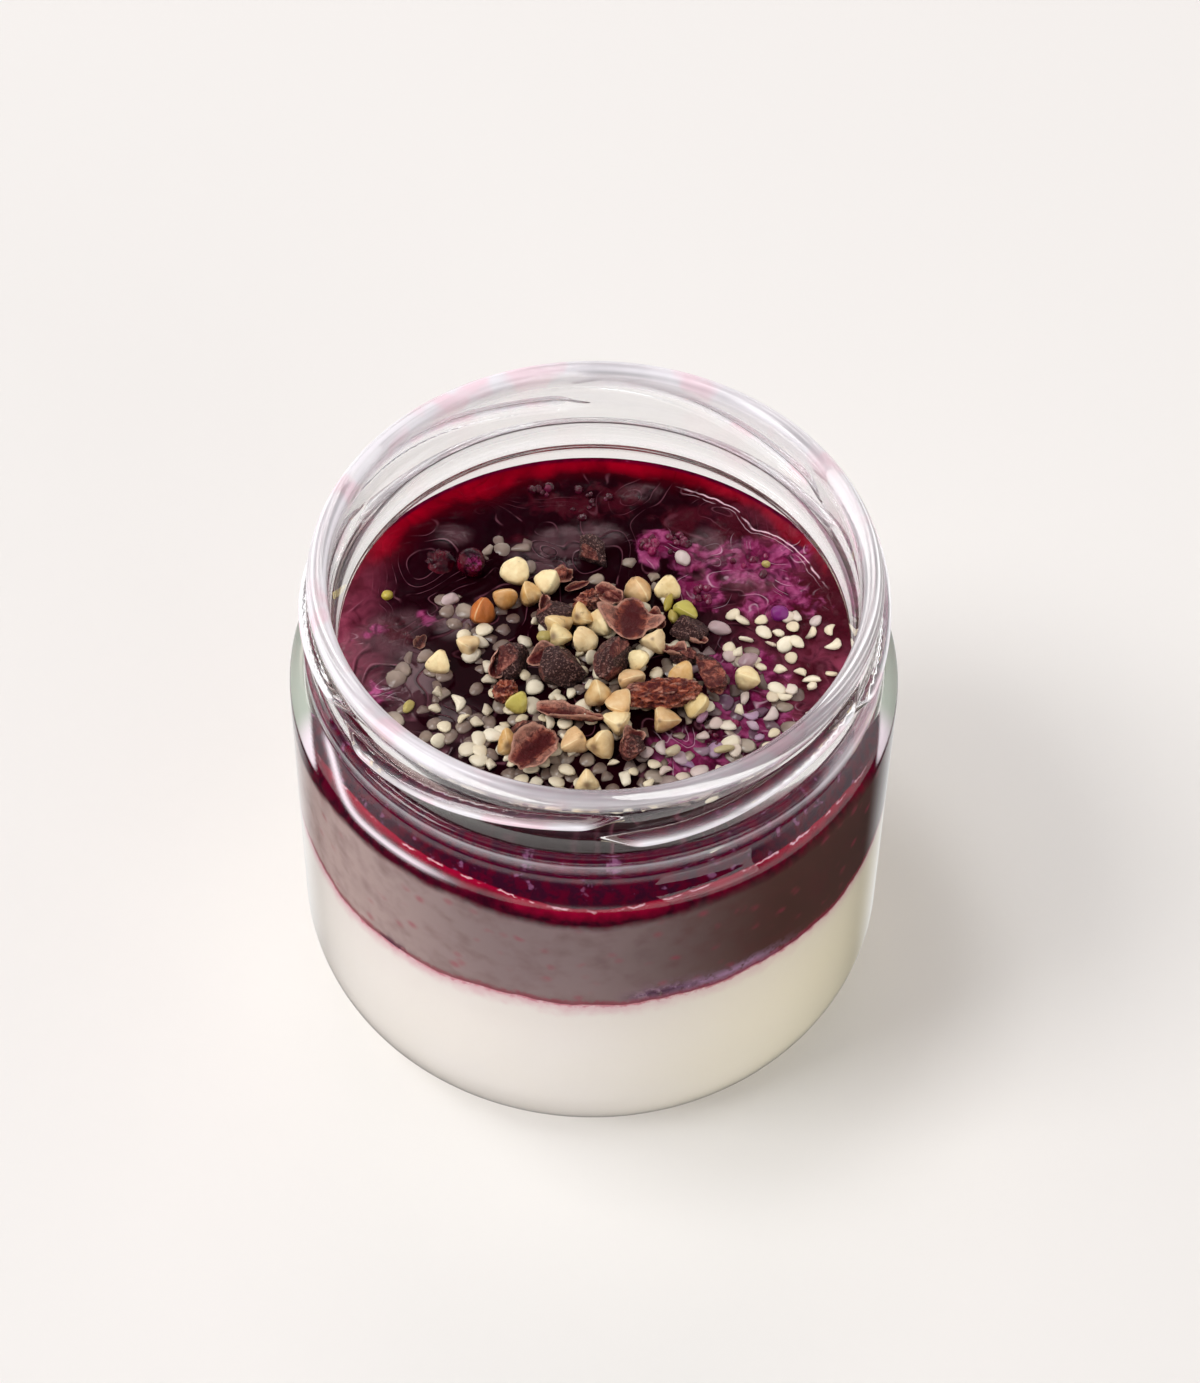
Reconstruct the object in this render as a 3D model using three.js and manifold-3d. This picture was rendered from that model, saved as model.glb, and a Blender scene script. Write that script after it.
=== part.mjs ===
// A yogurt parfait in a squat glass jar: strained yogurt, a thick berry compote, and on top a heap of
// hulled buckwheat, cacao nibs and hemp hearts, with small berries half sunk in the syrup.
// Millimetres, +Z up. The origin is the centre of the jar's foot, and +Y is the side away from the viewer.
import * as THREE from 'three';
import { mergeVertices } from 'three/addons/utils/BufferGeometryUtils.js';
import Module from 'manifold-3d';

// Jar: a pot closed by an 82 mm twist-off lid
const JAR_HEIGHT = 79.5;
const BODY_RADIUS = 42.2;
const BODY_WALL = 2.6;
const HEEL_ROUND = 11.5;
const BASE_THICKNESS = 4;
const FOOT_INNER_RADIUS = 25;
const PUNT_RISE = 1.4;
const PUNT_RADIUS = 12;
const SHOULDER_START = 57.6;
const SHOULDER_TOP = 63.2;
const NECK_RADIUS = 38.6;
const BORE_RADIUS = 36.1;
const BORE_FOOT_RADIUS = 35.2;
const BORE_FOOT = 64.8;
const INNER_SHOULDER = 57.8;
const LIP_RADIUS = 38.9;
const LIP_BAND = 77;
const BEAD_RADIUS = 39.9;
const BEAD_TOP = 67.6;
const JAR_SIDES = 60;
const JAR_SLACK = 0.01;

// Screw finish: six short threads, each falling clockwise as seen from above
const THREADS = 6;
const THREAD_SWEEP = 66;
const THREAD_START = 277;
const THREAD_HIGH = 75.4;
const THREAD_LOW = 71.2;
const THREAD_HEIGHT = 1.6;
const THREAD_WIDTH = 2.4;
const THREAD_STEPS = 10;
const THREAD_RUN_OUT = 0.14;
// A thread's section: share of its height out from the neck, and half widths up from its middle
const THREAD_SECTION = [[-0.5, -1.1], [0.15, -0.95], [1, -0.4], [1, 0.4], [0.15, 0.95], [-0.5, 1.1]];

// Contents
const CLEARANCE = 0.35;
const SEAM = 36;
const SEAM_TILT = 1.1;
const SEAM_WAVE = 0.45;
const SURFACE = 56.5;
const MENISCUS = 0.7;
const BERRY_ROOM = CLEARANCE + 0.1;
const FILL_SIDES = 48;
const FILL_RADIUS = BODY_RADIUS - BODY_WALL - CLEARANCE;

// The heap swells the compote's top under the grains: centre x, y, spread in x, y, and height
const HEAP = [2.5, -4, 15, 13, 2];
// Pulp and sunken fruit that swell the top: x, y, radius, height
const SWELLS = [
  [-1, 31, 5.5, 0.9],
  [9, 22.5, 3.6, 0.8],
  [20, 18, 6, 0.7],
  [30, 8, 5, 0.6],
  [-27, -3, 6, 0.4],
  [17, 28, 5, 0.5],
  [-20.5, 20.5, 5, 0.7],
];
// Whole berries, half sunk: x, y, radius, height of the centre over the level, lean towards +X and +Y
const BERRIES = {
  crowned_berry: [-17.7, 18.8, 2.15, 1.4, 0.35, -0.7],
  sunken_berry: [-22.1, 20, 2.7, -1.3, -0.5, 0.2],
};
const BERRY_SIDES = 12;
const BERRY_SQUASH = 0.9;
const BERRY_CROWN = 0.4;

// Cacao nibs: x, y, length, width, thickness, turn in degrees, lift
const NIBS = [
  [5, 7.5, 8.6, 6.6, 3.2, 35, 1.5],
  [-5.3, -1.3, 8, 7, 4.2, 150, 1.1],
  [-12.1, 0.7, 5.8, 5.2, 3.8, 60, 0.9],
  [-5.6, 9.6, 5.4, 4.2, 3.6, 115, 1],
  [-0.6, 21.2, 5.6, 4, 2.6, 140, 0.6],
  [-0.6, 12, 4.6, 3.4, 2.4, 20, 0.9],
  [1.8, 12.9, 4.2, 3, 2, 165, 1.6],
  [13.2, 7, 5.6, 4.4, 3.2, 10, 0.9],
  [2.3, -0.3, 7.4, 4, 3.4, 70, 1.5],
  [12, 2, 4.8, 3.8, 2.6, 160, 1],
  [15.9, -0.4, 7.8, 3.6, 3, 110, 1.2],
  [9.2, -5.8, 9.4, 3.8, 2.8, 8, 1.5],
  [-3.2, -9.4, 9.2, 3.8, 2.4, 172, 1.3],
  [-8, -14.7, 8.4, 5.4, 2.8, 48, 1.1],
  [5.5, -13.9, 4.4, 4, 3, 80, 1.3],
  [-12.8, -4.7, 4, 3, 2.4, 40, 0.8],
  [-9.8, -11, 5.2, 3.6, 2, 15, 0.6],
  [-5, 17.7, 4, 2.8, 1.8, 60, 0.7],
];
// Hulled buckwheat groats: x, y, lift
const GROATS = [
  [-11.3, 18, 0.5], [-12.9, 12.9, 0.6], [-16, 10.4, 0.6], [-9.4, 13.6, 0.7], [-6.6, 15, 1.3],
  [-17.9, 4.2, 0.6], [-21.6, 1.1, 0.6], [-1.8, 8.8, 1.3], [1, 8, 0.9], [-4.7, 5, 1.2],
  [-1.5, 4.3, 0.9], [6, 14.4, 1], [10.3, 15, 0.9], [12.5, 10.6, 0.9], [8.3, 4, 1.5],
  [6.2, 0, 1.2], [12.3, -1.9, 1.3], [21.2, -1.2, 0.9], [23.5, 6.5, 0.6], [-10.4, -6.5, 1],
  [0.6, -5.8, 1.4], [3.7, -7.8, 1.2], [3.4, -10.6, 1.2], [5, -3.3, 1], [14.2, -6.8, 0.8],
  [-2.4, -13.4, 1.1], [1.4, -13.6, 1], [-11.5, -13, 0.8], [-0.7, -19.3, 0.7], [9.8, -9.4, 0.8],
];
const GROAT_RADIUS = 1.95;
const GROAT_LENGTH = 2.3;
// Hemp hearts lie thickest in these patches: x, y, spread, share
const HEMP_PATCHES = [
  [-16, -14, 7, 1],
  [-6, -20, 7, 1],
  [6, -20, 6, 1],
  [18, -12, 6.5, 1],
  [25, -2, 6, 0.9],
  [21, 8, 5, 0.6],
  [4, 10, 6, 0.5],
  [-14, 4, 7, 0.7],
  [-13, 23, 3.5, 0.6],
];
const HEMP_HEARTS = 54;
const HEMP_SIZE = [1.3, 1.05, 0.75];
const HEMP_REACH = 35;
const HEMP_SPACING = 3;
const HEMP_MARGIN = 2.8;
const COMPOTE_SLACK = 0.1;

const wasm = await Module();
wasm.setup();

// Numbers from 0 to 1 that are the same in each run
function makeDraw(seed) {
  let state = seed;
  return () => {
    state = (state + 0x6d2b79f5) | 0;
    let mixed = Math.imul(state ^ (state >>> 15), 1 | state);
    mixed = (mixed + Math.imul(mixed ^ (mixed >>> 7), 61 | mixed)) ^ mixed;
    return ((mixed ^ (mixed >>> 14)) >>> 0) / 4294967296;
  };
}

// Points of a round stretch about (r, z), from one angle to another in degrees
function roundStretch(r, z, radius, from, to, steps) {
  return Array.from({ length: steps + 1 }, (_, i) => {
    const angle = THREE.MathUtils.degToRad(from + ((to - from) * i) / steps);
    return new THREE.Vector2(r + radius * Math.cos(angle), z + radius * Math.sin(angle));
  });
}

function bend(points, steps) {
  const corners = points.map(([r, z]) => new THREE.Vector2(r, z));
  return new THREE.CubicBezierCurve(...corners).getPoints(steps);
}

// A geometry with shared corners, no zero triangles, and its faces pointing out
function closed(geometry) {
  geometry.deleteAttribute('normal');
  geometry.deleteAttribute('uv');
  const merged = mergeVertices(geometry, 1e-4);
  const place = merged.attributes.position;
  const kept = [];
  for (let i = 0; i < merged.index.count; i += 3) {
    const [a, b, c] = [0, 1, 2].map((k) => merged.index.getX(i + k));
    if (a !== b && b !== c && c !== a) kept.push(a, b, c);
  }
  let volume = 0;
  const corner = [new THREE.Vector3(), new THREE.Vector3(), new THREE.Vector3()];
  for (let i = 0; i < kept.length; i += 3) {
    corner.forEach((v, k) => v.fromBufferAttribute(place, kept[i + k]));
    volume += corner[0].dot(corner[1].clone().cross(corner[2]));
  }
  if (volume < 0) kept.reverse();
  merged.setIndex(kept);
  return merged;
}

function solid(geometry) {
  const merged = closed(geometry);
  return new wasm.Manifold(new wasm.Mesh({
    numProp: 3,
    vertProperties: new Float32Array(merged.attributes.position.array),
    triVerts: new Uint32Array(merged.index.array),
  }));
}

function geometryOf(manifold) {
  const mesh = manifold.getMesh();
  const geometry = new THREE.BufferGeometry();
  geometry.setAttribute('position', new THREE.BufferAttribute(mesh.vertProperties, 3));
  geometry.setIndex(new THREE.BufferAttribute(mesh.triVerts, 1));
  return geometry;
}

// Only the biggest body of a solid, without slivers: loose scraps go, and sealed hollows are filled
function biggest(manifold, slack) {
  return manifold.simplify(slack).decompose().sort((a, b) => b.volume() - a.volume())[0];
}

function turned(points, sides) {
  return new THREE.LatheGeometry(points, sides).rotateX(Math.PI / 2);
}

// A closed skin of rings: place(ring, angle) gives each corner, and the first and last rings are points
function ringSkin(rings, sides, place) {
  const corners = [];
  for (let i = 0; i <= rings; i += 1) {
    for (let j = 0; j <= sides; j += 1) {
      corners.push(...place(i, (2 * Math.PI * (j % sides)) / sides));
    }
  }
  const faces = [];
  for (let i = 0; i < rings; i += 1) {
    for (let j = 0; j < sides; j += 1) {
      const a = i * (sides + 1) + j;
      const b = a + sides + 1;
      faces.push(a, a + 1, b, a + 1, b + 1, b);
    }
  }
  const geometry = new THREE.BufferGeometry();
  geometry.setAttribute('position', new THREE.Float32BufferAttribute(corners, 3));
  geometry.setIndex(faces);
  return geometry;
}

function smoothStep(value) {
  const t = Math.min(Math.max(value, 0), 1);
  return t * t * (3 - 2 * t);
}

// Jar

function jarOutline() {
  const footRadius = BODY_RADIUS - HEEL_ROUND;
  const innerRadius = BODY_RADIUS - BODY_WALL;
  const innerRound = HEEL_ROUND - 3;
  const lipRound = (LIP_RADIUS - BORE_RADIUS) / 2;
  const lipMiddle = (LIP_RADIUS + BORE_RADIUS) / 2;
  return [
    ...bend([
      [0, PUNT_RISE],
      [PUNT_RADIUS, PUNT_RISE],
      [FOOT_INNER_RADIUS - 5, PUNT_RISE / 2],
      [FOOT_INNER_RADIUS, 0],
    ], 3),
    ...roundStretch(footRadius, HEEL_ROUND, HEEL_ROUND, -90, 0, 5),
    ...bend([
      [BODY_RADIUS, SHOULDER_START],
      [BODY_RADIUS, SHOULDER_START + 3],
      [NECK_RADIUS + 0.8, SHOULDER_TOP - 2.2],
      [NECK_RADIUS + 0.3, SHOULDER_TOP],
    ], 4),
    new THREE.Vector2(BEAD_RADIUS - 0.3, SHOULDER_TOP + 0.6),
    new THREE.Vector2(BEAD_RADIUS, (SHOULDER_TOP + BEAD_TOP) / 2),
    new THREE.Vector2(BEAD_RADIUS - 0.3, BEAD_TOP - 0.6),
    new THREE.Vector2(NECK_RADIUS, BEAD_TOP),
    new THREE.Vector2(NECK_RADIUS, LIP_BAND),
    ...roundStretch(lipMiddle, JAR_HEIGHT - lipRound, lipRound, 0, 180, 4),
    ...bend([
      [BORE_FOOT_RADIUS, BORE_FOOT],
      [BORE_FOOT_RADIUS, BORE_FOOT - 2.5],
      [innerRadius, INNER_SHOULDER + 4],
      [innerRadius, INNER_SHOULDER],
    ], 3),
    ...roundStretch(innerRadius - innerRound, BASE_THICKNESS + innerRound, innerRound, 0, -90, 4),
    new THREE.Vector2(0, BASE_THICKNESS),
  ];
}

// One thread: a rounded ridge along a falling arc, sunk into the wall at both ends
function thread(index) {
  const half = THREAD_WIDTH / 2;
  const start = THREAD_START + (360 * index) / THREADS;
  const corners = THREAD_SECTION.length;
  const place = (ring, angle) => {
    const step = Math.min(Math.max(ring - 1, 0), THREAD_STEPS);
    const share = step / THREAD_STEPS;
    const turn = THREE.MathUtils.degToRad(start - THREAD_SWEEP * share);
    const fade = smoothStep(share / THREAD_RUN_OUT) * smoothStep((1 - share) / THREAD_RUN_OUT);
    const middle = THREAD_HIGH + (THREAD_LOW - THREAD_HIGH) * smoothStep(share * 1.15 - 0.05);
    const corner = Math.round((angle / (2 * Math.PI)) * corners) % corners;
    const [out, up] = ring === 0 || ring === THREAD_STEPS + 2 ? [-0.4, 0] : THREAD_SECTION[corner];
    const height = THREAD_HEIGHT * (1.15 * fade - 0.15);
    const r = NECK_RADIUS + (out > 0 ? out * height : out);
    const z = middle + up * half * (0.35 + 0.65 * fade);
    return [r * Math.cos(turn), r * Math.sin(turn), z];
  };
  return solid(ringSkin(THREAD_STEPS + 2, corners, place));
}

function jarGeometry() {
  let jar = solid(turned(jarOutline(), JAR_SIDES));
  for (let i = 0; i < THREADS; i += 1) jar = jar.add(thread(i));
  return geometryOf(biggest(jar, JAR_SLACK));
}

// Levels inside the jar

function seamHeight(x, y) {
  const angle = Math.atan2(y, x);
  const tilt = (SEAM_TILT * (x * 0.94 + y * 0.34)) / BODY_RADIUS;
  const slow = Math.sin(3 * angle + 0.6);
  const wave = slow + 0.6 * Math.sin(7 * angle + 2.1) + 0.4 * Math.sin(13 * angle);
  return SEAM + tilt + (SEAM_WAVE * wave * Math.hypot(x, y)) / BODY_RADIUS;
}

function bump(x, y, cx, cy, sx, sy) {
  return Math.exp(-(((x - cx) / sx) ** 2 + ((y - cy) / sy) ** 2) / 2);
}

function surfaceHeight(x, y) {
  const [hx, hy, spreadX, spreadY, rise] = HEAP;
  const heap = rise * bump(x, y, hx, hy, spreadX / 1.6, spreadY / 1.6);
  const swell = ([cx, cy, r, h]) => h * bump(x, y, cx, cy, r / 1.8, r / 1.8);
  const swells = SWELLS.reduce((sum, one) => sum + swell(one), 0);
  const ripple = 0.12 * Math.sin(0.42 * x + 0.9) * Math.cos(0.37 * y - 0.4);
  const rim = MENISCUS * smoothStep((Math.hypot(x, y) - FILL_RADIUS + 3) / 3) ** 2;
  return SURFACE + heap + swells + ripple + rim;
}

function yogurtGeometry() {
  const round = HEEL_ROUND - 3 - CLEARANCE;
  const bottom = BASE_THICKNESS + CLEARANCE;
  const side = [
    new THREE.Vector2(0, bottom),
    ...roundStretch(FILL_RADIUS - round, bottom + round, round, -90, 0, 4),
  ];
  const topRings = [1, 0.75, 0.4, 0];
  const place = (ring, angle) => {
    const [c, s] = [Math.cos(angle), Math.sin(angle)];
    if (ring < side.length) return [side[ring].x * c, side[ring].x * s, side[ring].y];
    const r = FILL_RADIUS * topRings[ring - side.length];
    return [r * c, r * s, seamHeight(r * c, r * s)];
  };
  return closed(ringSkin(side.length + topRings.length - 1, FILL_SIDES, place));
}

function compoteCore() {
  const bottomRings = [0, 0.35, 0.7, 1];
  const topRings = [1, 0.975, 0.93, 0.82, 0.68, 0.53, 0.38, 0.2, 0];
  const place = (ring, angle) => {
    const under = ring < bottomRings.length;
    const r = FILL_RADIUS * (under ? bottomRings[ring] : topRings[ring - bottomRings.length]);
    const [x, y] = [r * Math.cos(angle), r * Math.sin(angle)];
    return [x, y, under ? seamHeight(x, y) + CLEARANCE : surfaceHeight(x, y)];
  };
  return solid(ringSkin(bottomRings.length + topRings.length - 1, FILL_SIDES, place));
}

// Berries

// A berry's outline from its foot to the crown round its dimple
function berryOutline(radius) {
  const crown = BERRY_CROWN * radius;
  const squashed = (p) => new THREE.Vector2(Math.max(p.x, 0), BERRY_SQUASH * p.y);
  return [
    ...roundStretch(0, 0, radius, -90, 62, 6).map(squashed),
    new THREE.Vector2(crown, 0.92 * radius),
    new THREE.Vector2(0.6 * crown, 0.7 * radius),
    new THREE.Vector2(0, 0.64 * radius),
  ];
}

function berry([x, y, radius, lift, leanX, leanY]) {
  const shape = turned(berryOutline(radius), BERRY_SIDES);
  return solid(shape.rotateX(-leanY).rotateY(leanX).translate(x, y, SURFACE + lift));
}

// A blunt ball that leaves room all round a berry
function berryPocket([x, y, radius, lift]) {
  const ball = new THREE.SphereGeometry(radius + BERRY_ROOM, 14, 9);
  return solid(ball.translate(x, y, SURFACE + lift));
}

// Grains and nibs

// Moves a unit shape's corners out and in by a rule, then sizes, turns and places it
function placed(unit, shape, size, turns, spot) {
  const position = unit.attributes.position;
  const corner = new THREE.Vector3();
  for (let i = 0; i < position.count; i += 1) {
    corner.fromBufferAttribute(position, i);
    shape(corner);
    position.setXYZ(i, corner.x * size[0], corner.y * size[1], corner.z * size[2]);
  }
  unit.applyMatrix4(new THREE.Matrix4().makeRotationFromEuler(new THREE.Euler(...turns, 'ZYX')));
  return solid(unit.translate(...spot));
}

// Three blunt sides that narrow to a point
function groat([x, y, lift], index) {
  const draw = makeDraw(300 + index);
  const shape = (corner) => {
    const angle = Math.atan2(corner.y, corner.x);
    const side = (1 + 0.17 * Math.cos(3 * angle)) * (1 - 0.28 * corner.z);
    corner.x *= side;
    corner.y *= side;
  };
  const grade = 0.9 + 0.2 * draw();
  const size = [GROAT_RADIUS * grade, GROAT_RADIUS * grade, GROAT_LENGTH * grade];
  const turns = [2 * Math.PI * draw(), Math.PI * draw(), 2 * Math.PI * draw()];
  const unit = new THREE.SphereGeometry(1, 6, 4);
  return placed(unit, shape, size, turns, [x, y, surfaceHeight(x, y) + lift]);
}

// A broken shard with a few flat faces
function nib([x, y, length, width, thickness, turn, lift], index) {
  const draw = makeDraw(700 + index);
  const cuts = Array.from({ length: 7 }, () => {
    const [tilt, spin] = [Math.acos(2 * draw() - 1), 2 * Math.PI * draw()];
    const facing = new THREE.Vector3().setFromSphericalCoords(1, tilt, spin);
    return [facing, 0.62 + 0.22 * draw()];
  });
  const shape = (corner) => {
    cuts.forEach(([facing, depth]) => {
      const over = corner.dot(facing) - depth;
      if (over > 0) corner.addScaledVector(facing, -over);
    });
    corner.multiplyScalar(1.14);
  };
  const size = [length / 2, width / 2, thickness / 2];
  const turns = [0.5 * (draw() - 0.5), 0.5 * (draw() - 0.5), THREE.MathUtils.degToRad(turn)];
  const unit = new THREE.SphereGeometry(1, 7, 5);
  return placed(unit, shape, size, turns, [x, y, surfaceHeight(x, y) + lift]);
}

// Hemp hearts: spots drawn over the surface, kept apart, and kept where the patches are thick
function hempSpots() {
  const draw = makeDraw(41);
  const spots = [];
  for (let tries = 0; spots.length < HEMP_HEARTS && tries < 20000; tries += 1) {
    const [angle, r] = [2 * Math.PI * draw(), HEMP_REACH * Math.sqrt(draw())];
    const [x, y] = [r * Math.cos(angle), r * Math.sin(angle)];
    const cover = ([cx, cy, spread, share]) => share * bump(x, y, cx, cy, spread, spread);
    const thick = Math.max(...HEMP_PATCHES.map(cover));
    const apart = (others, gap) => others.every(([ox, oy]) => Math.hypot(ox - x, oy - y) > gap);
    const fits = apart(spots, HEMP_SPACING) && apart([...GROATS, ...NIBS], HEMP_MARGIN);
    if (fits && thick > 0.3 + 0.7 * draw()) spots.push([x, y]);
  }
  return spots;
}

function hempHeart([x, y], index) {
  const draw = makeDraw(1100 + index);
  const turns = [0.7 * (draw() - 0.5), 0.7 * (draw() - 0.5), 2 * Math.PI * draw()];
  const unit = new THREE.SphereGeometry(1, 5, 3);
  return placed(unit, () => {}, HEMP_SIZE, turns, [x, y, surfaceHeight(x, y) + 0.35]);
}

function clearOfBerries([x, y], reach) {
  const apart = ([bx, by, radius]) => Math.hypot(bx - x, by - y) > radius + BERRY_ROOM + reach;
  return Object.values(BERRIES).every(apart);
}

function compoteGeometry() {
  const toppings = [
    ...NIBS.filter((n) => clearOfBerries(n, n[2] / 2)).map(nib),
    ...GROATS.filter((g) => clearOfBerries(g, GROAT_LENGTH)).map(groat),
    ...hempSpots().filter((h) => clearOfBerries(h, HEMP_SIZE[0])).map(hempHeart),
  ];
  let compote = compoteCore();
  toppings.forEach((piece) => { compote = compote.add(piece); });
  Object.values(BERRIES).forEach((spot) => { compote = compote.subtract(berryPocket(spot)); });
  return geometryOf(biggest(compote, COMPOTE_SLACK));
}

// Assembly

const glass = new THREE.MeshStandardMaterial({
  color: 0xe9eeea,
  roughness: 0.04,
  transparent: true,
  opacity: 0.35,
});
const yogurt = new THREE.MeshStandardMaterial({ color: 0xf3ebe0, roughness: 0.55 });
const compote = new THREE.MeshStandardMaterial({ color: 0x4a1020, roughness: 0.2 });
const berrySkin = new THREE.MeshStandardMaterial({ color: 0x2a1024, roughness: 0.35 });

function named(name, geometry, material) {
  const mesh = new THREE.Mesh(geometry, material);
  mesh.name = name;
  return mesh;
}

const parfait = new THREE.Group();
parfait.add(named('glass_jar', jarGeometry(), glass));
parfait.add(named('yogurt_layer', yogurtGeometry(), yogurt));
parfait.add(named('compote_with_seeds', compoteGeometry(), compote));
Object.entries(BERRIES).forEach(([name, spot]) => {
  parfait.add(named(name, geometryOf(berry(spot)), berrySkin));
});

export default parfait;
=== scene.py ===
"""A berry and yogurt parfait in its squat glass jar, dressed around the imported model.

Shapes are worked out in millimetres and become metres when a mesh is made. The origin is the centre of
the jar's foot, +Z is up and +Y is the side away from the viewer.
"""

import logging
from dataclasses import dataclass, field
from enum import Enum
from typing import Any, Sequence

import bpy
import numpy as np
from mathutils import Matrix, Vector


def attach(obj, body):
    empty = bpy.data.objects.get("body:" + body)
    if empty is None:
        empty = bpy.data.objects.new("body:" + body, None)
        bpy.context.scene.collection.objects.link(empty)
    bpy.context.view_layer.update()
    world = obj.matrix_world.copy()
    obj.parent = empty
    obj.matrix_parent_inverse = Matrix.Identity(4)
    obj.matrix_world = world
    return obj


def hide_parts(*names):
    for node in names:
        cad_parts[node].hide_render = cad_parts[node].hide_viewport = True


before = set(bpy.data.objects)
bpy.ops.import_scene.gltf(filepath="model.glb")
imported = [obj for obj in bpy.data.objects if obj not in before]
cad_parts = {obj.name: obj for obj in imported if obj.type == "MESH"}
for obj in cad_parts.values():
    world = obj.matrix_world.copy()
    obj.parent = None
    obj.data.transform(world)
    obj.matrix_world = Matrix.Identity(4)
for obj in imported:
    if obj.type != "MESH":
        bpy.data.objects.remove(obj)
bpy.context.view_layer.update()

LOG = logging.getLogger("parfait")
MM = 0.001
Array = np.ndarray
Colour = tuple[float, float, float]


def paint(red: float, green: float, blue: float) -> Colour:
    """A screen colour, each part 0 to 255, as the linear colour that a shader takes.

    Args:
        red, green, blue: the parts.

    Returns:
        The linear colour.
    """
    parts = np.array([red, green, blue]) / 255
    linear = np.where(parts > 0.04045, ((parts + 0.055) / 1.055) ** 2.4, parts / 12.92)
    return tuple(float(part) for part in linear)


# Numbers on grids


def ease(value: Array) -> Array:
    """A smooth step: 0 below 0, 1 above 1, and 3t^2 - 2t^3 between."""
    t = np.clip(value, 0, 1)
    return t * t * (3 - 2 * t)


def bump(x: Array, y: Array, cx: float, cy: float, sx: float, sy: float) -> Array:
    """A bell of height 1 at (cx, cy): e to the power of minus half the squared distance in spreads."""
    return np.exp(-(((x - cx) / sx) ** 2 + ((y - cy) / sy) ** 2) / 2)


def arc(r: float, z: float, radius: float, start: float, stop: float, steps: int) -> Array:
    """Points of a round stretch about (r, z), from one angle to another in degrees."""
    turn = np.radians(np.linspace(start, stop, steps + 1))
    return np.stack([r + radius * np.cos(turn), z + radius * np.sin(turn)], axis=1)


def bend(corners: Sequence[Sequence[float]], steps: int) -> Array:
    """Points of a cubic Bezier curve: its four corners weighted by (1-t)^3, 3(1-t)^2 t, 3(1-t)t^2, t^3.

    Args:
        corners: four points.
        steps: how many stretches it is cut into.

    Returns:
        One row for each point.
    """
    t = np.linspace(0, 1, steps + 1)[:, None]
    a, b, c, d = (np.array(corner, float) for corner in corners)
    return (1 - t) ** 3 * a + 3 * (1 - t) ** 2 * t * b + 3 * (1 - t) * t**2 * c + t**3 * d


class Clouds:
    """Smooth noise from 0 to 1 in space, the same in each run."""

    LATTICE = 48

    def __init__(self, seed: int) -> None:
        """Draw the numbers that stand at the corners of the lattice."""
        self.corners = np.random.default_rng(seed).random((self.LATTICE,) * 3)

    def at(self, x: Array, y: Array, z: Array | float = 0.0) -> Array:
        """The eight corner numbers round each point, weighted by smooth steps of its place in the cell.

        Args:
            x, y, z: the places, in cells.

        Returns:
            Noise from 0 to 1.
        """
        axes = np.broadcast_arrays(x, y, z)
        low = [np.floor(axis).astype(int) for axis in axes]
        part = [ease(axis - floor) for axis, floor in zip(axes, low)]
        total = np.zeros(axes[0].shape)
        for corner in np.ndindex(2, 2, 2):
            weight = np.ones(axes[0].shape)
            for share, side in zip(part, corner):
                weight = weight * (share if side else 1 - share)
            spot = tuple((floor + side) % self.LATTICE for floor, side in zip(low, corner))
            total += weight * self.corners[spot]
        return total

    def heap(self, x: Array, y: Array, z: Array | float, size: float, octaves: int) -> Array:
        """Noise of a size in millimetres plus finer noise, each layer half as big and half as strong.

        Args:
            x, y, z: the places.
            size: the largest layer's size.
            octaves: how many layers.

        Returns:
            Noise from 0 to 1.
        """
        total = np.zeros(np.broadcast(x, y, z).shape)
        for octave in range(octaves):
            grain = 2**octave / size
            shift = 7.3 * octave
            total += self.at(x * grain + shift, y * grain - shift, z * grain + 0.5 * shift) / 2**octave
        return total / (2 - 0.5 ** (octaves - 1))


# Meshes


@dataclass
class Skin:
    """A closed skin of triangles, in millimetres, with named numbers at its points."""

    points: Array
    faces: Array
    marks: dict[str, Array] = field(default_factory=dict)

    def outward(self) -> "Skin":
        """Turn the faces out, which they are when the volume inside them comes out positive.

        Returns:
            This skin.
        """
        a, b, c = (self.points[self.faces[:, k]] for k in range(3))
        if np.einsum("ij,ij->", a, np.cross(b, c)) < 0:
            self.faces = self.faces[:, ::-1]
        return self

    def made(self, name: str, material: bpy.types.Material, *nodes: str, slot: str) -> bpy.types.Object:
        """Make the piece in Blender and tie it to the frame.

        Args:
            name: the piece's name.
            material: its finish.
            nodes: the solids that it stands for.
            slot: not used.

        Returns:
            The new object, in metres, at the origin.
        """
        mesh = bpy.data.meshes.new(name)
        mesh.vertices.add(len(self.points))
        mesh.vertices.foreach_set("co", np.ascontiguousarray(self.points * MM, np.float32).ravel())
        mesh.loops.add(self.faces.size)
        mesh.loops.foreach_set("vertex_index", np.ascontiguousarray(self.faces, np.int32).ravel())
        mesh.polygons.add(len(self.faces))
        mesh.polygons.foreach_set("loop_start", np.arange(0, self.faces.size, 3, dtype=np.int32))
        mesh.update(calc_edges=True)
        mesh.validate()
        mesh.shade_smooth()
        for word, numbers in self.marks.items():
            layer = mesh.attributes.new(word, "FLOAT", "POINT")
            layer.data.foreach_set("value", np.ascontiguousarray(numbers, np.float32).ravel())
        mesh.materials.append(material)
        piece = bpy.data.objects.new(name, mesh)
        bpy.context.collection.objects.link(piece)
        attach(piece, "root")
        if nodes:
            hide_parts(*nodes)
        LOG.info("%s: %d triangles", name, len(self.faces))
        return piece


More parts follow.
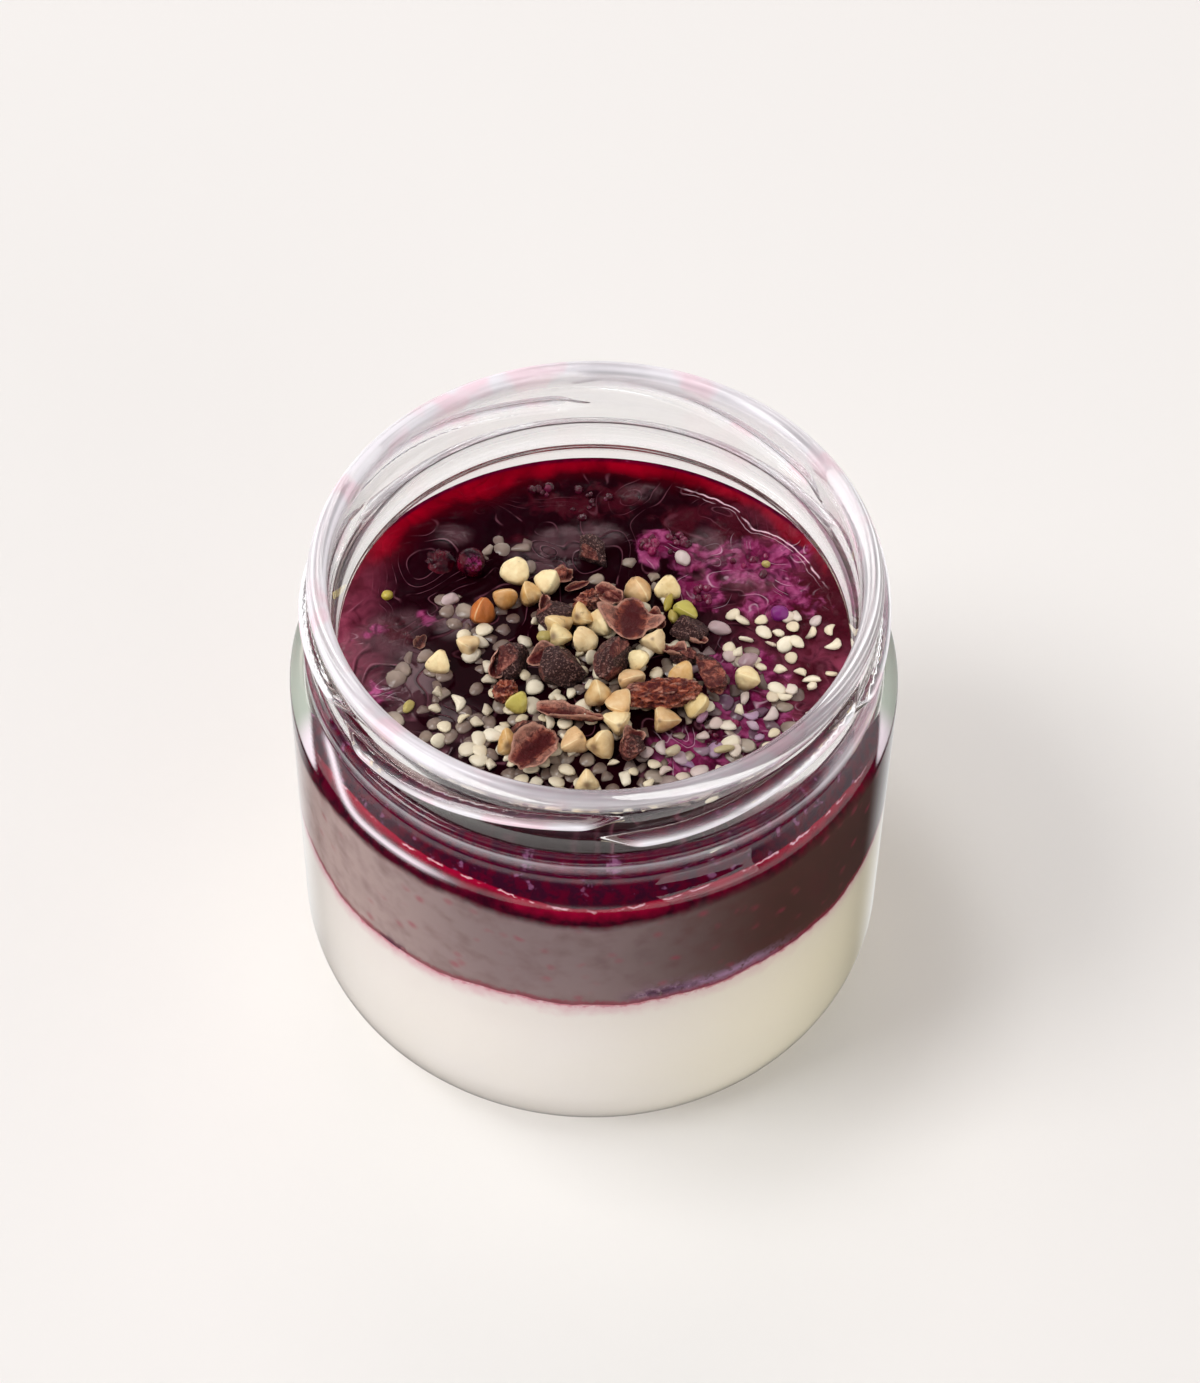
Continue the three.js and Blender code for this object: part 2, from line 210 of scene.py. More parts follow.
def ring_faces(rings: int, around: int) -> Array:
    """Triangles of a skin of closed rings whose first and last rings are single points.

    Point 0 is the first pole, then come the rings one by one, and the last point is the last pole. Two
    triangles join each point to the next one on its ring and to the two that face them on the next ring.

    Args:
        rings: how many rings, with both poles.
        around: how many points a ring has.

    Returns:
        Three point numbers for each triangle.
    """
    j = np.arange(around)
    k = (j + 1) % around
    ring = 1 + around * np.arange(rings - 3)[:, None]
    a, b = ring + j, ring + k
    c, d = a + around, b + around
    walls = [np.stack([a, b, d], axis=-1), np.stack([a, d, c], axis=-1)]
    last = 1 + (rings - 2) * around
    caps = [
        np.stack([np.zeros_like(j), 1 + k, 1 + j], axis=-1),
        np.stack([np.full_like(j, last), last - around + j, last - around + k], axis=-1),
    ]
    return np.concatenate([part.reshape(-1, 3) for part in walls + caps])


def pole_rows(values: Array) -> Array:
    """Numbers on items x rings x around as one row for each item, each pole once.

    Args:
        values: the numbers, with any further axes after these three.

    Returns:
        The numbers on items x points.
    """
    items, rings, around = values.shape[:3]
    inner = values[:, 1:-1].reshape(items, (rings - 2) * around, *values.shape[3:])
    return np.concatenate([values[:, 0, :1], inner, values[:, -1, :1]], axis=1)


def ring_skin(grid: Array, **marks: Array) -> Skin:
    """One skin from points on items x rings x around, with numbers that broadcast to the same grid.

    Args:
        grid: the points, whose first and last rings are single points.
        marks: the numbers, by name.

    Returns:
        The skin, with its faces out.
    """
    items, rings, around = grid.shape[:3]
    points = pole_rows(grid)
    first = points.shape[1] * np.arange(items)[:, None, None]
    faces = (ring_faces(rings, around)[None] + first).reshape(-1, 3)
    numbers = {word: pole_rows(np.broadcast_to(mark, grid.shape[:3])).ravel() for word, mark in marks.items()}
    return Skin(points.reshape(-1, 3), faces, numbers).outward()


def turned(outline: Array, around: int) -> tuple[Array, Array, Array]:
    """Radius, height and angle on a rings x around grid, for an outline turned about the upright axis.

    Args:
        outline: rows of radius and height.
        around: how many points go round the axis.

    Returns:
        The three grids.
    """
    turn = np.linspace(0, 2 * np.pi, around, endpoint=False)
    r, angle = np.meshgrid(outline[:, 0], turn, indexing="ij")
    z = np.broadcast_to(outline[:, 1:], r.shape)
    return r, z, angle


def upright(r: Array, z: Array, angle: Array) -> Array:
    """Points r cos a, r sin a, z."""
    return np.stack([r * np.cos(angle), r * np.sin(angle), z], axis=-1)


def unit_ball(items: int, rings: int, around: int) -> tuple[Array, Array, Array]:
    """The unit ball's points on items x rings x around, with their angle from +Z and their turn about it.

    Args:
        items: how many balls.
        rings: how many rings, with both poles.
        around: how many points a ring has.

    Returns:
        The points and the two angles, in radians.
    """
    tilt = np.linspace(0, np.pi, rings)[None, :, None]
    turn = np.linspace(0, 2 * np.pi, around, endpoint=False)[None, None, :]
    tilt, turn = np.broadcast_arrays(tilt, turn, np.zeros((items, 1, 1)))[:2]
    points = np.stack([np.sin(tilt) * np.cos(turn), np.sin(tilt) * np.sin(turn), np.cos(tilt)], axis=-1)
    return points, tilt, turn


def turns(angles: Array) -> Array:
    """Rotation matrices about X, then Y, then Z, by angles in radians, one row of three for each item.

    Args:
        angles: one row of three for each item.

    Returns:
        One matrix for each item.
    """
    (cx, cy, cz), (sx, sy, sz) = np.cos(angles).T, np.sin(angles).T
    rows = [
        [cz * cy, cz * sy * sx - sz * cx, cz * sy * cx + sz * sx],
        [sz * cy, sz * sy * sx + cz * cx, sz * sy * cx - cz * sx],
        [-sy, cy * sx, cy * cx],
    ]
    return np.moveaxis(np.array(rows), -1, 0)


def placed(shapes: Array, angles: Array, spots: Array) -> Array:
    """Each item's points turned by its three angles and moved to its spot."""
    return np.einsum("nij,nraj->nrai", turns(angles), shapes) + spots[:, None, None, :]


# Shader maths


class Value:
    """A number in a material: arithmetic on it adds Math nodes."""

    def __init__(self, shader: "Nodes", socket: bpy.types.NodeSocket) -> None:
        """Keep the socket and the tree that it belongs to."""
        self.shader = shader
        self.socket = socket

    def _maths(self, operation: str, *others: "Value | float", clamp: bool = False) -> "Value":
        """Add one Math node.

        Args:
            operation: the node's operation.
            others: its further values.
            clamp: whether the result stays from 0 to 1.

        Returns:
            The result.
        """
        values = dict(enumerate((self, *others)))
        node = self.shader.node("ShaderNodeMath", {"operation": operation, "use_clamp": clamp}, values)
        return Value(self.shader, node.outputs[0])

    def __add__(self, other: "Value | float") -> "Value":
        """Sum."""
        return self._maths("ADD", other)

    __radd__ = __add__

    def __mul__(self, other: "Value | float") -> "Value":
        """Product."""
        return self._maths("MULTIPLY", other)

    __rmul__ = __mul__

    def __sub__(self, other: "Value | float") -> "Value":
        """Difference."""
        return self._maths("SUBTRACT", other)

    def __rsub__(self, other: float) -> "Value":
        """A number less this value."""
        return self * -1 + other

    def __pow__(self, other: "Value | float") -> "Value":
        """Power."""
        return self._maths("POWER", other)

    def step(self, low: float, high: float) -> "Value":
        """A smooth step from 0 at low to 1 at high.

        Args:
            low: where it starts.
            high: where it ends.

        Returns:
            The step.
        """
        settings = {"interpolation_type": "SMOOTHSTEP"}
        node = self.shader.node("ShaderNodeMapRange", settings, {"Value": self, 1: low, 2: high})
        return Value(self.shader, node.outputs[0])

    def clamped(self) -> "Value":
        """This value kept between 0 and 1."""
        return self._maths("ADD", 0.0, clamp=True)

    def fraction(self) -> "Value":
        """What is left over the whole number below."""
        return self._maths("FRACT")

    def whole(self) -> "Value":
        """The whole number below."""
        return self._maths("FLOOR")

    def near(self, level: float, width: float) -> "Value":
        """A thin line: 1 where this value is at a level, 0 from a width away."""
        gap = (self - level)._maths("ABSOLUTE")
        return 1 - gap.step(0.0, width)


class Nodes:
    """A node tree, with short ways to add to it."""

    def __init__(self, tree: bpy.types.NodeTree, place: str) -> None:
        """Empty the tree and read a place or a direction.

        Args:
            tree: the tree to fill.
            place: the texture coordinate to read.
        """
        self.tree = tree
        self.tree.nodes.clear()
        self.place = self.node("ShaderNodeTexCoord").outputs[place]

    def node(
        self, kind: str, settings: dict[str, Any] | None = None, inputs: dict[Any, Any] | None = None
    ) -> bpy.types.Node:
        """Add one node.

        Args:
            kind: the node's type.
            settings: its properties, set before its sockets.
            inputs: what each socket, by name or number, is set or linked to.

        Returns:
            The new node.
        """
        node = self.tree.nodes.new(kind)
        for word, setting in (settings or {}).items():
            setattr(node, word, setting)
        for key, value in (inputs or {}).items():
            self.feed(node.inputs[key], value)
        return node

    def feed(self, socket: bpy.types.NodeSocket, value: Any) -> None:
        """Link a socket to a value or another socket, or set it.

        Args:
            socket: the input.
            value: what it gets.
        """
        source = value.socket if isinstance(value, Value) else value
        if isinstance(source, bpy.types.NodeSocket):
            self.tree.links.new(source, socket)
        elif isinstance(source, tuple) and len(socket.default_value) == 4:
            socket.default_value = (*source, 1.0)
        else:
            socket.default_value = source

    def part(self, letter: str) -> Value:
        """One of the three numbers of the place or direction."""
        return Value(self, self.node("ShaderNodeSeparateXYZ", None, {0: self.place}).outputs[letter])


class Shader(Nodes):
    """One material's node tree."""

    def __init__(self, name: str) -> None:
        """Start an empty material.

        Args:
            name: the material's name.
        """
        self.material = bpy.data.materials.new(name)
        self.material.use_nodes = True
        super().__init__(self.material.node_tree, "Object")

    def mark(self, word: str) -> Value:
        """A number stored at the mesh's points."""
        node = self.node("ShaderNodeAttribute", {"attribute_name": word})
        return Value(self, node.outputs["Fac"])

    def axis(self, letter: str) -> Value:
        """The place along X, Y or Z, in millimetres."""
        return self.part(letter) * (1 / MM)

    def cloud(self, size: float, detail: float = 2.0, roughness: float = 0.5, warp: float = 0.0) -> Value:
        """Soft noise of a size in millimetres.

        Args:
            size: the largest layer's size.
            detail: how many finer layers it has.
            roughness: how strong each finer layer is.
            warp: how far it is distorted.

        Returns:
            The noise.
        """
        inputs = {
            "Vector": self.place, "Scale": 1 / (size * MM), "Detail": detail,
            "Roughness": roughness, "Distortion": warp,
        }
        return Value(self, self.node("ShaderNodeTexNoise", None, inputs).outputs[0])

    def cells(self, size: float, feature: str = "F1") -> Value:
        """Distance in a pattern of cells of a size in millimetres."""
        inputs = {"Vector": self.place, "Scale": 1 / (size * MM)}
        return Value(self, self.node("ShaderNodeTexVoronoi", {"feature": feature}, inputs).outputs[0])

    def mix(self, first: Any, second: Any, share: Value | float) -> bpy.types.NodeSocket:
        """A colour between two colours.

        Args:
            first: the colour at a share of 0.
            second: the colour at a share of 1.
            share: how much of the second.

        Returns:
            The colour.
        """
        settings = {"data_type": "RGBA", "clamp_factor": True}
        node = self.node("ShaderNodeMix", settings, {0: share, 6: first, 7: second})
        return node.outputs[2]

    def relief(self, height: Value, depth: float) -> bpy.types.NodeSocket:
        """A bump whose full height is a depth in millimetres."""
        inputs = {"Height": height, "Distance": depth * MM, "Strength": 1.0}
        return self.node("ShaderNodeBump", None, inputs).outputs[0]

    def principled(self, **sockets: Any) -> bpy.types.NodeSocket:
        """One Principled shader, whose sockets are given with _ for each space."""
        inputs = {word.replace("_", " "): value for word, value in sockets.items()}
        return self.node("ShaderNodeBsdfPrincipled", None, inputs).outputs[0]

    def blend(
        self, first: bpy.types.NodeSocket, second: bpy.types.NodeSocket, share: Any
    ) -> bpy.types.NodeSocket:
        """A shader between two shaders."""
        return self.node("ShaderNodeMixShader", None, {0: share, 1: first, 2: second}).outputs[0]

    def surface(self, **sockets: Any) -> bpy.types.Material:
        """Finish with one Principled shader."""
        return self.finished(self.principled(**sockets))

    def finished(self, socket: bpy.types.NodeSocket) -> bpy.types.Material:
        """Link the last shader to the output."""
        self.node("ShaderNodeOutputMaterial", None, {"Surface": socket})
        return self.material


# Finishes


@dataclass(frozen=True)
class ClearGlass:
    """Pressed jar glass, faintly green in its thick edges, with light painted on its ridges."""

    tint: Colour = (0.996, 1.0, 0.997)
    shade: Colour = (0.99, 0.995, 0.99)
    # The next four colours are painted light: white and pink for the painted highlights, pale green and white
    # for the patches painted at the shoulder's sides.
    bloom: Colour = paint(248, 244, 250)
    pink: Colour = paint(255, 218, 230)
    pale_green: Colour = paint(182, 192, 178)
    glint: Colour = paint(255, 240, 250)
    index: float = 1.5

    def material(self) -> bpy.types.Material:
        """Glass that lets light through to what is inside it, instead of casting a black shadow.

        The bloom and the pane are highlights of the photograph, painted as colour. The bloom is a share
        of soft white shader, by a mark on the mesh and slow noise. The pane is a pale green or white
        patch at the sides of the shoulder, by two more marks. Both stay where they are in every view.

        Returns:
            The material.
        """
        shader = Shader("clear_jar_glass")
        glass = shader.principled(
            Base_Color=self.tint, Roughness=0.0, IOR=self.index, Transmission_Weight=1.0
        )
        # Painted highlights: a share of soft white shader, tinted pink by noise.
        blush = shader.mix(self.bloom, self.pink, shader.cloud(8, 2).step(0.5, 0.64) * 0.7)
        bloom = shader.principled(Base_Color=blush, Roughness=0.25, IOR=self.index)
        share = (shader.mark("bloom") * (0.7 + 0.6 * shader.cloud(9, 3))).clamped()
        painted = shader.blend(glass, bloom, share)
        # Painted refraction: pale green and white patches at the shoulder's sides.
        lit = shader.mix(self.pale_green, self.glint, shader.mark("glint"))
        pane = shader.principled(Base_Color=lit, Roughness=0.4, IOR=self.index)
        painted = shader.blend(painted, pane, shader.mark("pane"))
        through = shader.node("ShaderNodeBsdfTransparent", None, {"Color": self.shade}).outputs[0]
        shadow = shader.node("ShaderNodeLightPath").outputs["Is Shadow Ray"]
        return shader.finished(shader.blend(painted, through, shadow))


@dataclass(frozen=True)
class StrainedYogurt:
    """Thick yogurt pressed to the glass, stained pink where the compote bleeds into it."""

    cream: Colour = paint(255, 249, 245)
    shade: Colour = paint(255, 246, 220)
    blush: Colour = paint(238, 196, 204)
    rose: Colour = paint(206, 96, 120)

    def material(self) -> bpy.types.Material:
        """White, with shade painted on its right side and a pink edge ragged by noise, pinker on the left by
        a painted reflection.

        Returns:
            The material.
        """
        shader = Shader("strained_yogurt")
        # Painted shade: darker and warmer towards the right.
        right = shader.axis("X").step(-6, 42)
        body = shader.mix(self.cream, self.shade, right * 0.85 + shader.cloud(9) * 0.15)
        depth = shader.mark("under_seam") + (shader.cloud(2.4, 4, 0.6) - 0.5) * 3.4
        # The pink stain near the seam is the yogurt's own; its extra strength on the left is a painted pink
        # reflection.
        left = 1 - shader.axis("X").step(-10, 25)
        stained = shader.mix(body, self.blush, (1 - depth.step(0.0, 3.6)) * (0.5 + 0.4 * left))
        edge = shader.mark("under_seam") + (shader.cloud(0.9, 4, 0.7) - 0.5) * 2.4
        fringed = shader.mix(stained, self.rose, (1 - edge.step(0.0, 0.75)) * 0.7)
        relief = shader.relief(shader.cloud(3, 3), 0.05)
        return shader.surface(
            Base_Color=fringed, Roughness=0.5, Specular_IOR_Level=0.0, Normal=relief
        )


@dataclass(frozen=True)
class BerryCompote:
    """Dark glossy syrup with pulp, skins and milky pools, and a grey veil on the side that is a painted
    reflection.
    """

    syrup: Colour = paint(26, 2, 8)
    ruby: Colour = paint(146, 0, 24)
    garnet: Colour = paint(62, 0, 8)
    # Milky syrup, partly a painted sheen.
    milk_and_sheen: Colour = paint(78, 48, 55)
    mist: Colour = paint(146, 62, 86)
    # Colour of the painted dark reflection lines on the contours and in the pulp.
    painted_dark_line: Colour = paint(14, 1, 5)
    violet: Colour = paint(112, 26, 68)
    pulp: Colour = paint(172, 82, 130)
    # Colours of painted highlights: the pale squiggles in the pulp and the pale lines on the contours.
    thread: Colour = paint(226, 196, 212)
    glint: Colour = paint(150, 92, 108)
    bark: Colour = paint(62, 10, 22)
    # Painted reflection as a veil, with painted light on the left and painted shade on the right.
    veil_painted_light_left: Colour = paint(206, 183, 178)
    veil_painted_reflection_front: Colour = paint(154, 134, 134)
    veil_painted_shade_right: Colour = paint(86, 58, 52)
    band_red: Colour = paint(104, 52, 56)
    fleck: Colour = paint(176, 60, 86)
    wine: Colour = paint(88, 0, 32)
    wine_dark: Colour = paint(52, 2, 24)
    rim: Colour = paint(172, 4, 52)
    gleam: Colour = paint(246, 206, 220)
    cling: Colour = paint(54, 8, 34)
    lilac: Colour = paint(150, 92, 132)
    streak: Colour = paint(176, 138, 170)
    torn: Colour = paint(84, 52, 76)

    def top(self, shader: Shader) -> bpy.types.NodeSocket:
        """Syrup, red where it is thin, with milky pools, purple pulp, contour lines and painted pale
        squiggles.

        The pale lines along the contours and the shore are highlights of the photograph, painted as colour.

        Args:
            shader: the tree to add to.

        Returns:
            The colour.
        """
        big = shader.cloud(5.5, 2, 0.5, 1.0)
        mottle = shader.cloud(2.4, 2.5, 0.5, 1.0)
        fine = shader.cloud(0.9, 2, 0.5, 0.5)
        rough = (shader.mark("pulp") + shader.mark("bark")).clamped()
        thin = shader.mark("ruby") * 1.6 + big * 0.9 + mottle * 0.6 - 1.75
        red = shader.mix(self.garnet, self.ruby, thin.clamped())
        colour = shader.mix(self.syrup, red, shader.mark("ruby"))
        # The milky colour is partly the syrup's own and partly a painted sheen.
        colour = shader.mix(colour, self.milk_and_sheen, shader.mark("milk_and_sheen") * big.step(0.3, 0.6) * 0.8)
        sides = shader.axis("X").step(12, 32) + shader.axis("X").step(-27, -37) * 0.9
        mist = sides * (mottle * 2.0 - 0.4).clamped() * (1 - shader.mark("ruby") * 0.7)
        colour = shader.mix(colour, self.mist, mist * 0.9)
        torn = (shader.mark("bark") + mottle - 0.75).step(0.1, 0.45)
        colour = shader.mix(colour, self.bark, torn * 0.9)
        purple = shader.mix(self.violet, self.pulp, (mottle * 2.6 + fine * 1.0 - 1.6).clamped())
        purple = shader.mix(purple, self.wine_dark, shader.cloud(3.0, 2.5, 0.5, 1.0).step(0.5, 0.64) * 0.8)
        colour = shader.mix(colour, purple, (shader.mark("pulp") * 1.2 + mottle - 0.85).step(0.0, 0.3))
        phase = shader.mark("contour").fraction()
        calm = (1 - rough) * (1 - shader.mark("ruby") * 1.5).clamped() * shader.cloud(3.2, 2).step(0.38, 0.58)
        # Painted dark reflections along the contour lines, with painted highlights beside them.
        colour = shader.mix(colour, self.painted_dark_line, phase.near(0.64, 0.2) * calm * 0.85)
        colour = shader.mix(colour, self.glint, phase.near(0.48, 0.08) * calm * 0.4)
        # In the pulp: pale squiggles that are painted highlights, each beside a painted dark reflection line.
        lines = (shader.cloud(6.5, 0.5, 0.4, 0.8) * 7).fraction()
        share = shader.mark("pulp").step(0.1, 0.5) * shader.cloud(3.4, 1).step(0.48, 0.6)
        colour = shader.mix(colour, self.painted_dark_line, lines.near(0.68, 0.18) * share * 0.5)
        colour = shader.mix(colour, self.thread, lines.near(0.5, 0.08) * share * 0.4)
        shore = shader.mark("shore") + (shader.cloud(2.5, 2) - 0.5) * 1.2
        edge = (shore.near(0.0, 0.2) + shore.near(-0.75, 0.12) * 0.5) * shader.cloud(2.2, 1).step(0.36, 0.5)
        corner = shader.axis("X").step(11, 15) * shader.axis("Y").step(16, 20)
        return shader.mix(colour, self.gleam, (edge * corner).clamped() * 0.85)

    def side(self, shader: Shader) -> bpy.types.NodeSocket:
        """A grey veil of painted reflection, painted light on the left and shade on the right, under a wine
        band.

        Depths run down from the contact line: the cling above it, the crimson line, the wine band to its
        own ragged foot, and then the veil with rose flecks, a lilac streak and a torn spot. The gleam on
        the crimson line is painted too.

        Args:
            shader: the tree to add to.

        Returns:
            The colour.
        """
        across = shader.axis("X")
        # The veil is a painted reflection of the pale floor over the compote, lighter on the left and darker
        # on the right.
        veil = shader.mix(self.veil_painted_light_left, self.veil_painted_reflection_front, across.step(-40, -8))
        veil = shader.mix(veil, self.veil_painted_shade_right, across.step(-4, 26))
        veil = shader.mix(veil, self.band_red, (shader.cloud(3.5, 3, 0.5) * 2.4 - 1.1).clamped() * 0.35)
        veil = shader.mix(veil, self.veil_painted_shade_right, shader.cloud(7, 3, 0.6).step(0.45, 0.75) * 0.15)
        flecks = (1 - shader.cells(3.4).step(0.04, 0.36)) * shader.cloud(4).step(0.42, 0.6)
        colour = shader.mix(veil, self.fleck, flecks * 0.5)
        edge = shader.mark("over_seam") - (shader.cloud(0.9, 4, 0.7) - 0.3) * 2.0
        colour = shader.mix(colour, self.fleck, (1 - edge.step(0.0, 0.9)) * 0.55)
        broken = shader.mark("streak") * shader.cloud(1.0, 3, 0.6).step(0.3, 0.55)
        colour = shader.mix(colour, self.streak, broken)
        dark = shader.mark("crack") * shader.cloud(1.3, 4, 0.7).step(0.4, 0.5)
        colour = shader.mix(colour, self.torn, dark)
        ragged = shader.cloud(1.6, 3)
        depth = shader.mark("depth") + (ragged - 0.5) * 0.5
        foot = shader.mark("wine") + (shader.cloud(3, 3) - 0.5) * 1.4
        wine = shader.mix(self.wine, self.wine_dark, ragged.step(0.4, 0.65))
        colour = shader.mix(colour, wine, 1 - (depth - foot).step(-1.2, 0.9))
        line = depth + (shader.cloud(0.8, 3) - 0.5) * 0.9
        thick = shader.cloud(4.5, 2) * 1.6 - 0.7
        colour = shader.mix(colour, self.rim, (1 - (line - thick).step(-0.3, 2.0)) * shader.mark("rim"))
        cling = shader.mix(self.cling, self.wine, shader.cloud(1.4, 4, 0.65).step(0.4, 0.62))
        cling = shader.mix(cling, self.lilac, shader.cloud(1.9, 3, 0.55).step(0.6, 0.7) * 0.7)
        colour = shader.mix(colour, cling, 1 - depth.step(-0.35, -0.05))
        shine = (line - 0.05).near(0.0, 0.2) * shader.cloud(2.6, 2).step(0.46, 0.55) * shader.mark("rim")
        return shader.mix(colour, self.gleam, shine)

    def material(self) -> bpy.types.Material:
        """A top that is wet in its pools and soft between them, and a side pressed to the glass.

        The relief on the top is a stair: the whole part of the contour number, plus a smooth step of
        the rest of it. The side has no gloss of its own.

        Returns:
            The material.
        """
        shader = Shader("berry_compote")
        rough = (shader.mark("pulp") + shader.mark("bark")).clamped()
        level = shader.mark("contour")
        stair = (level.whole() + level.fraction().step(0.4, 0.6)) * (1 - rough) * 0.35
        normal = shader.relief(stair + shader.cloud(1.3, 3, 0.5, 0.6) * rough * 1.6, 0.3)
        colour = self.top(shader)
        wet = shader.principled(Base_Color=colour, Roughness=0.04 + rough * 0.12, IOR=1.36, Normal=normal)
        soft = shader.principled(Base_Color=colour, Roughness=0.5, Specular_IOR_Level=0.0, Normal=normal)
        shine = shader.mark("milk_and_sheen") * 0.8 + rough * shader.cloud(1.4, 2).step(0.5, 0.7) * 0.4
        shine = (shine + 0.05).clamped()
        pressed = shader.principled(Base_Color=self.side(shader), Roughness=0.6, Specular_IOR_Level=0.0)
        top = shader.blend(soft, wet, shine)
        return shader.finished(shader.blend(top, pressed, shader.mark("side")))


@dataclass(frozen=True)
class HempHeart:
    """Cream hulled seeds, greyed and stained where the syrup has wetted them."""

    cream: Colour = paint(226, 208, 170)
    pale: Colour = paint(246, 236, 212)
    wet: Colour = paint(142, 124, 112)
    lilac: Colour = paint(150, 104, 156)
    steeped: Colour = paint(74, 44, 46)

    def material(self) -> bpy.types.Material:
        """Cream by each seed's tone, then wet, then lilac, by the marks on the mesh.

        Returns:
            The material.
        """
        shader = Shader("hemp_hearts")
        tone = (shader.mark("tone") * 0.7 + shader.cloud(0.9, 2) * 0.5).clamped()
        colour = shader.mix(self.cream, self.pale, tone)
        colour = shader.mix(colour, self.wet, shader.mark("wet"))
        colour = shader.mix(colour, self.lilac, shader.mark("stain"))
        colour = shader.mix(self.steeped, colour, shader.mark("risen").step(-0.2, 0.5))
        rough = 0.42 - shader.mark("wet") * 0.25
        relief = shader.relief(shader.cloud(0.35, 2), 0.03)
        return shader.surface(Base_Color=colour, Roughness=rough, Normal=relief)


@dataclass(frozen=True)
class Buckwheat:
    """Hulled groats: golden faces, cream ridges partly painted as highlights, some orange or yellow-green."""

    tan: Colour = paint(210, 158, 80)
    pale: Colour = paint(254, 234, 184)
    orange: Colour = paint(196, 110, 46)
    green: Colour = paint(196, 184, 84)
    scar: Colour = paint(92, 48, 26)
    steeped: Colour = paint(88, 36, 22)

    def material(self) -> bpy.types.Material:
        """Tan to pale by noise, tone and ridges, with a brown scar at the blunt end; the pale ridges are
        partly painted highlight.

        Returns:
            The material.
        """
        shader = Shader("buckwheat_groats")
        pale_tone_and_ridge_highlight = shader.cloud(1.8, 3, 0.6) * 1.3 - 0.4 + shader.mark("tone") * 0.7 + shader.mark("ridge") * 0.35
        colour = shader.mix(self.tan, self.pale, pale_tone_and_ridge_highlight.clamped())
        colour = shader.mix(colour, self.orange, shader.mark("orange") * (1 - shader.mark("ridge") * 0.6))
        colour = shader.mix(colour, self.green, shader.mark("green") * (1 - shader.mark("ridge") * 0.5))
        dirt = shader.cloud(1.3, 3, 0.6).step(0.63, 0.74) * 0.5 + shader.mark("scar")
        colour = shader.mix(colour, self.scar, dirt.clamped() * 0.8)
        # Darker where the syrup wets it, a real stain, and on each grain's lower part, which is painted
        # shade.
        colour = shader.mix(self.steeped, colour, shader.mark("risen") * 0.8 + 0.2)
        relief = shader.relief(shader.cloud(0.5, 3, 0.6), 0.06)
        return shader.surface(Base_Color=colour, Roughness=0.42, Normal=relief)


@dataclass(frozen=True)
class CacaoNib:
    """Broken roasted cacao: near-black crystalline inside, pink-brown fibrous husk outside."""

    inside: Colour = paint(54, 26, 26)
    sugar: Colour = paint(182, 138, 128)
    steeped: Colour = paint(22, 6, 8)
    husk: Colour = paint(172, 98, 84)
    rust: Colour = paint(84, 28, 28)
    red: Colour = paint(186, 92, 62)
    pale: Colour = paint(226, 170, 148)
    deep: Colour = paint(84, 14, 18)

    def material(self) -> bpy.types.Material:
        """Dark speckled inside and streaked husk, by the marks for husk, redness and rim, with painted
        highlight and shade on its relief.

        Returns:
            The material.
        """
        shader = Shader("cacao_nibs")
        speck = shader.cloud(0.3, 3, 0.7).step(0.53, 0.64)
        inside = shader.mix(self.inside, self.sugar, speck * 0.75)
        streak = shader.cloud(1.1, 4, 0.7, 0.6).step(0.4, 0.64)
        warm = shader.mix(self.husk, self.red, shader.mark("red"))
        husk = shader.mix(self.rust, warm, streak)
        # Painted highlight on raised edges and rims, and painted shade deep in crevices and grooves.
        husk = shader.mix(husk, self.pale, (shader.mark("edge") + streak * 0.3 - 0.2).clamped() * 0.85)
        husk = shader.mix(husk, self.deep, (shader.mark("edge") * -1.4).clamped())
        colour = shader.mix(inside, husk, shader.mark("husk"))
        # Darker where the syrup wets it, a real stain, and on the lower part of each nib, which is painted
        # shade.
        colour = shader.mix(self.steeped, colour, shader.mark("risen") * 0.7 + 0.3)
        height = shader.cloud(0.35, 4, 0.65) + shader.cloud(1.1, 2) * 0.8
        normal = shader.relief(height, 0.5)
        return shader.surface(Base_Color=colour, Roughness=0.5, Specular_IOR_Level=0.3, Normal=normal)


@dataclass(frozen=True)
class BerrySkin:
    """Dark wrinkled berry skin with a magenta crown, under syrup."""

    skin: Colour = paint(30, 2, 12)
    flesh: Colour = paint(78, 4, 22)
    crown: Colour = paint(138, 36, 92)

    def material(self) -> bpy.types.Material:
        """Near-black skin, redder on its folds, violet specks at the crown.

        Returns:
            The material.
        """
        shader = Shader("berry_skin")
        colour = shader.mix(self.skin, self.flesh, shader.cloud(2.4, 3, 0.5).step(0.42, 0.66))
        specks = shader.cloud(0.5, 3, 0.7).step(0.42, 0.6)
        colour = shader.mix(colour, self.crown, shader.mark("crown") * specks)
        relief = shader.relief(shader.cloud(0.8, 4, 0.6), 0.1)
        return shader.surface(Base_Color=colour, Roughness=0.12, Specular_IOR_Level=0.2, Normal=relief)


@dataclass(frozen=True)
class FruitPulp:
    """Wet torn fruit, from dark red to bright pink by each bead's tone."""

    dark: Colour = paint(58, 6, 22)
    bright: Colour = paint(138, 30, 78)

    def material(self) -> bpy.types.Material:
        """Dark red to pink by the mark on each bead.

        Returns:
            The material.
        """
        shader = Shader("fruit_pulp")
        tone = (shader.mark("tone") + (shader.cloud(0.7, 3) - 0.5) * 0.6).clamped()
        colour = shader.mix(self.dark, self.bright, tone)
        relief = shader.relief(shader.cloud(0.4, 3), 0.08)
        return shader.surface(Base_Color=colour, Roughness=0.2, Normal=relief)


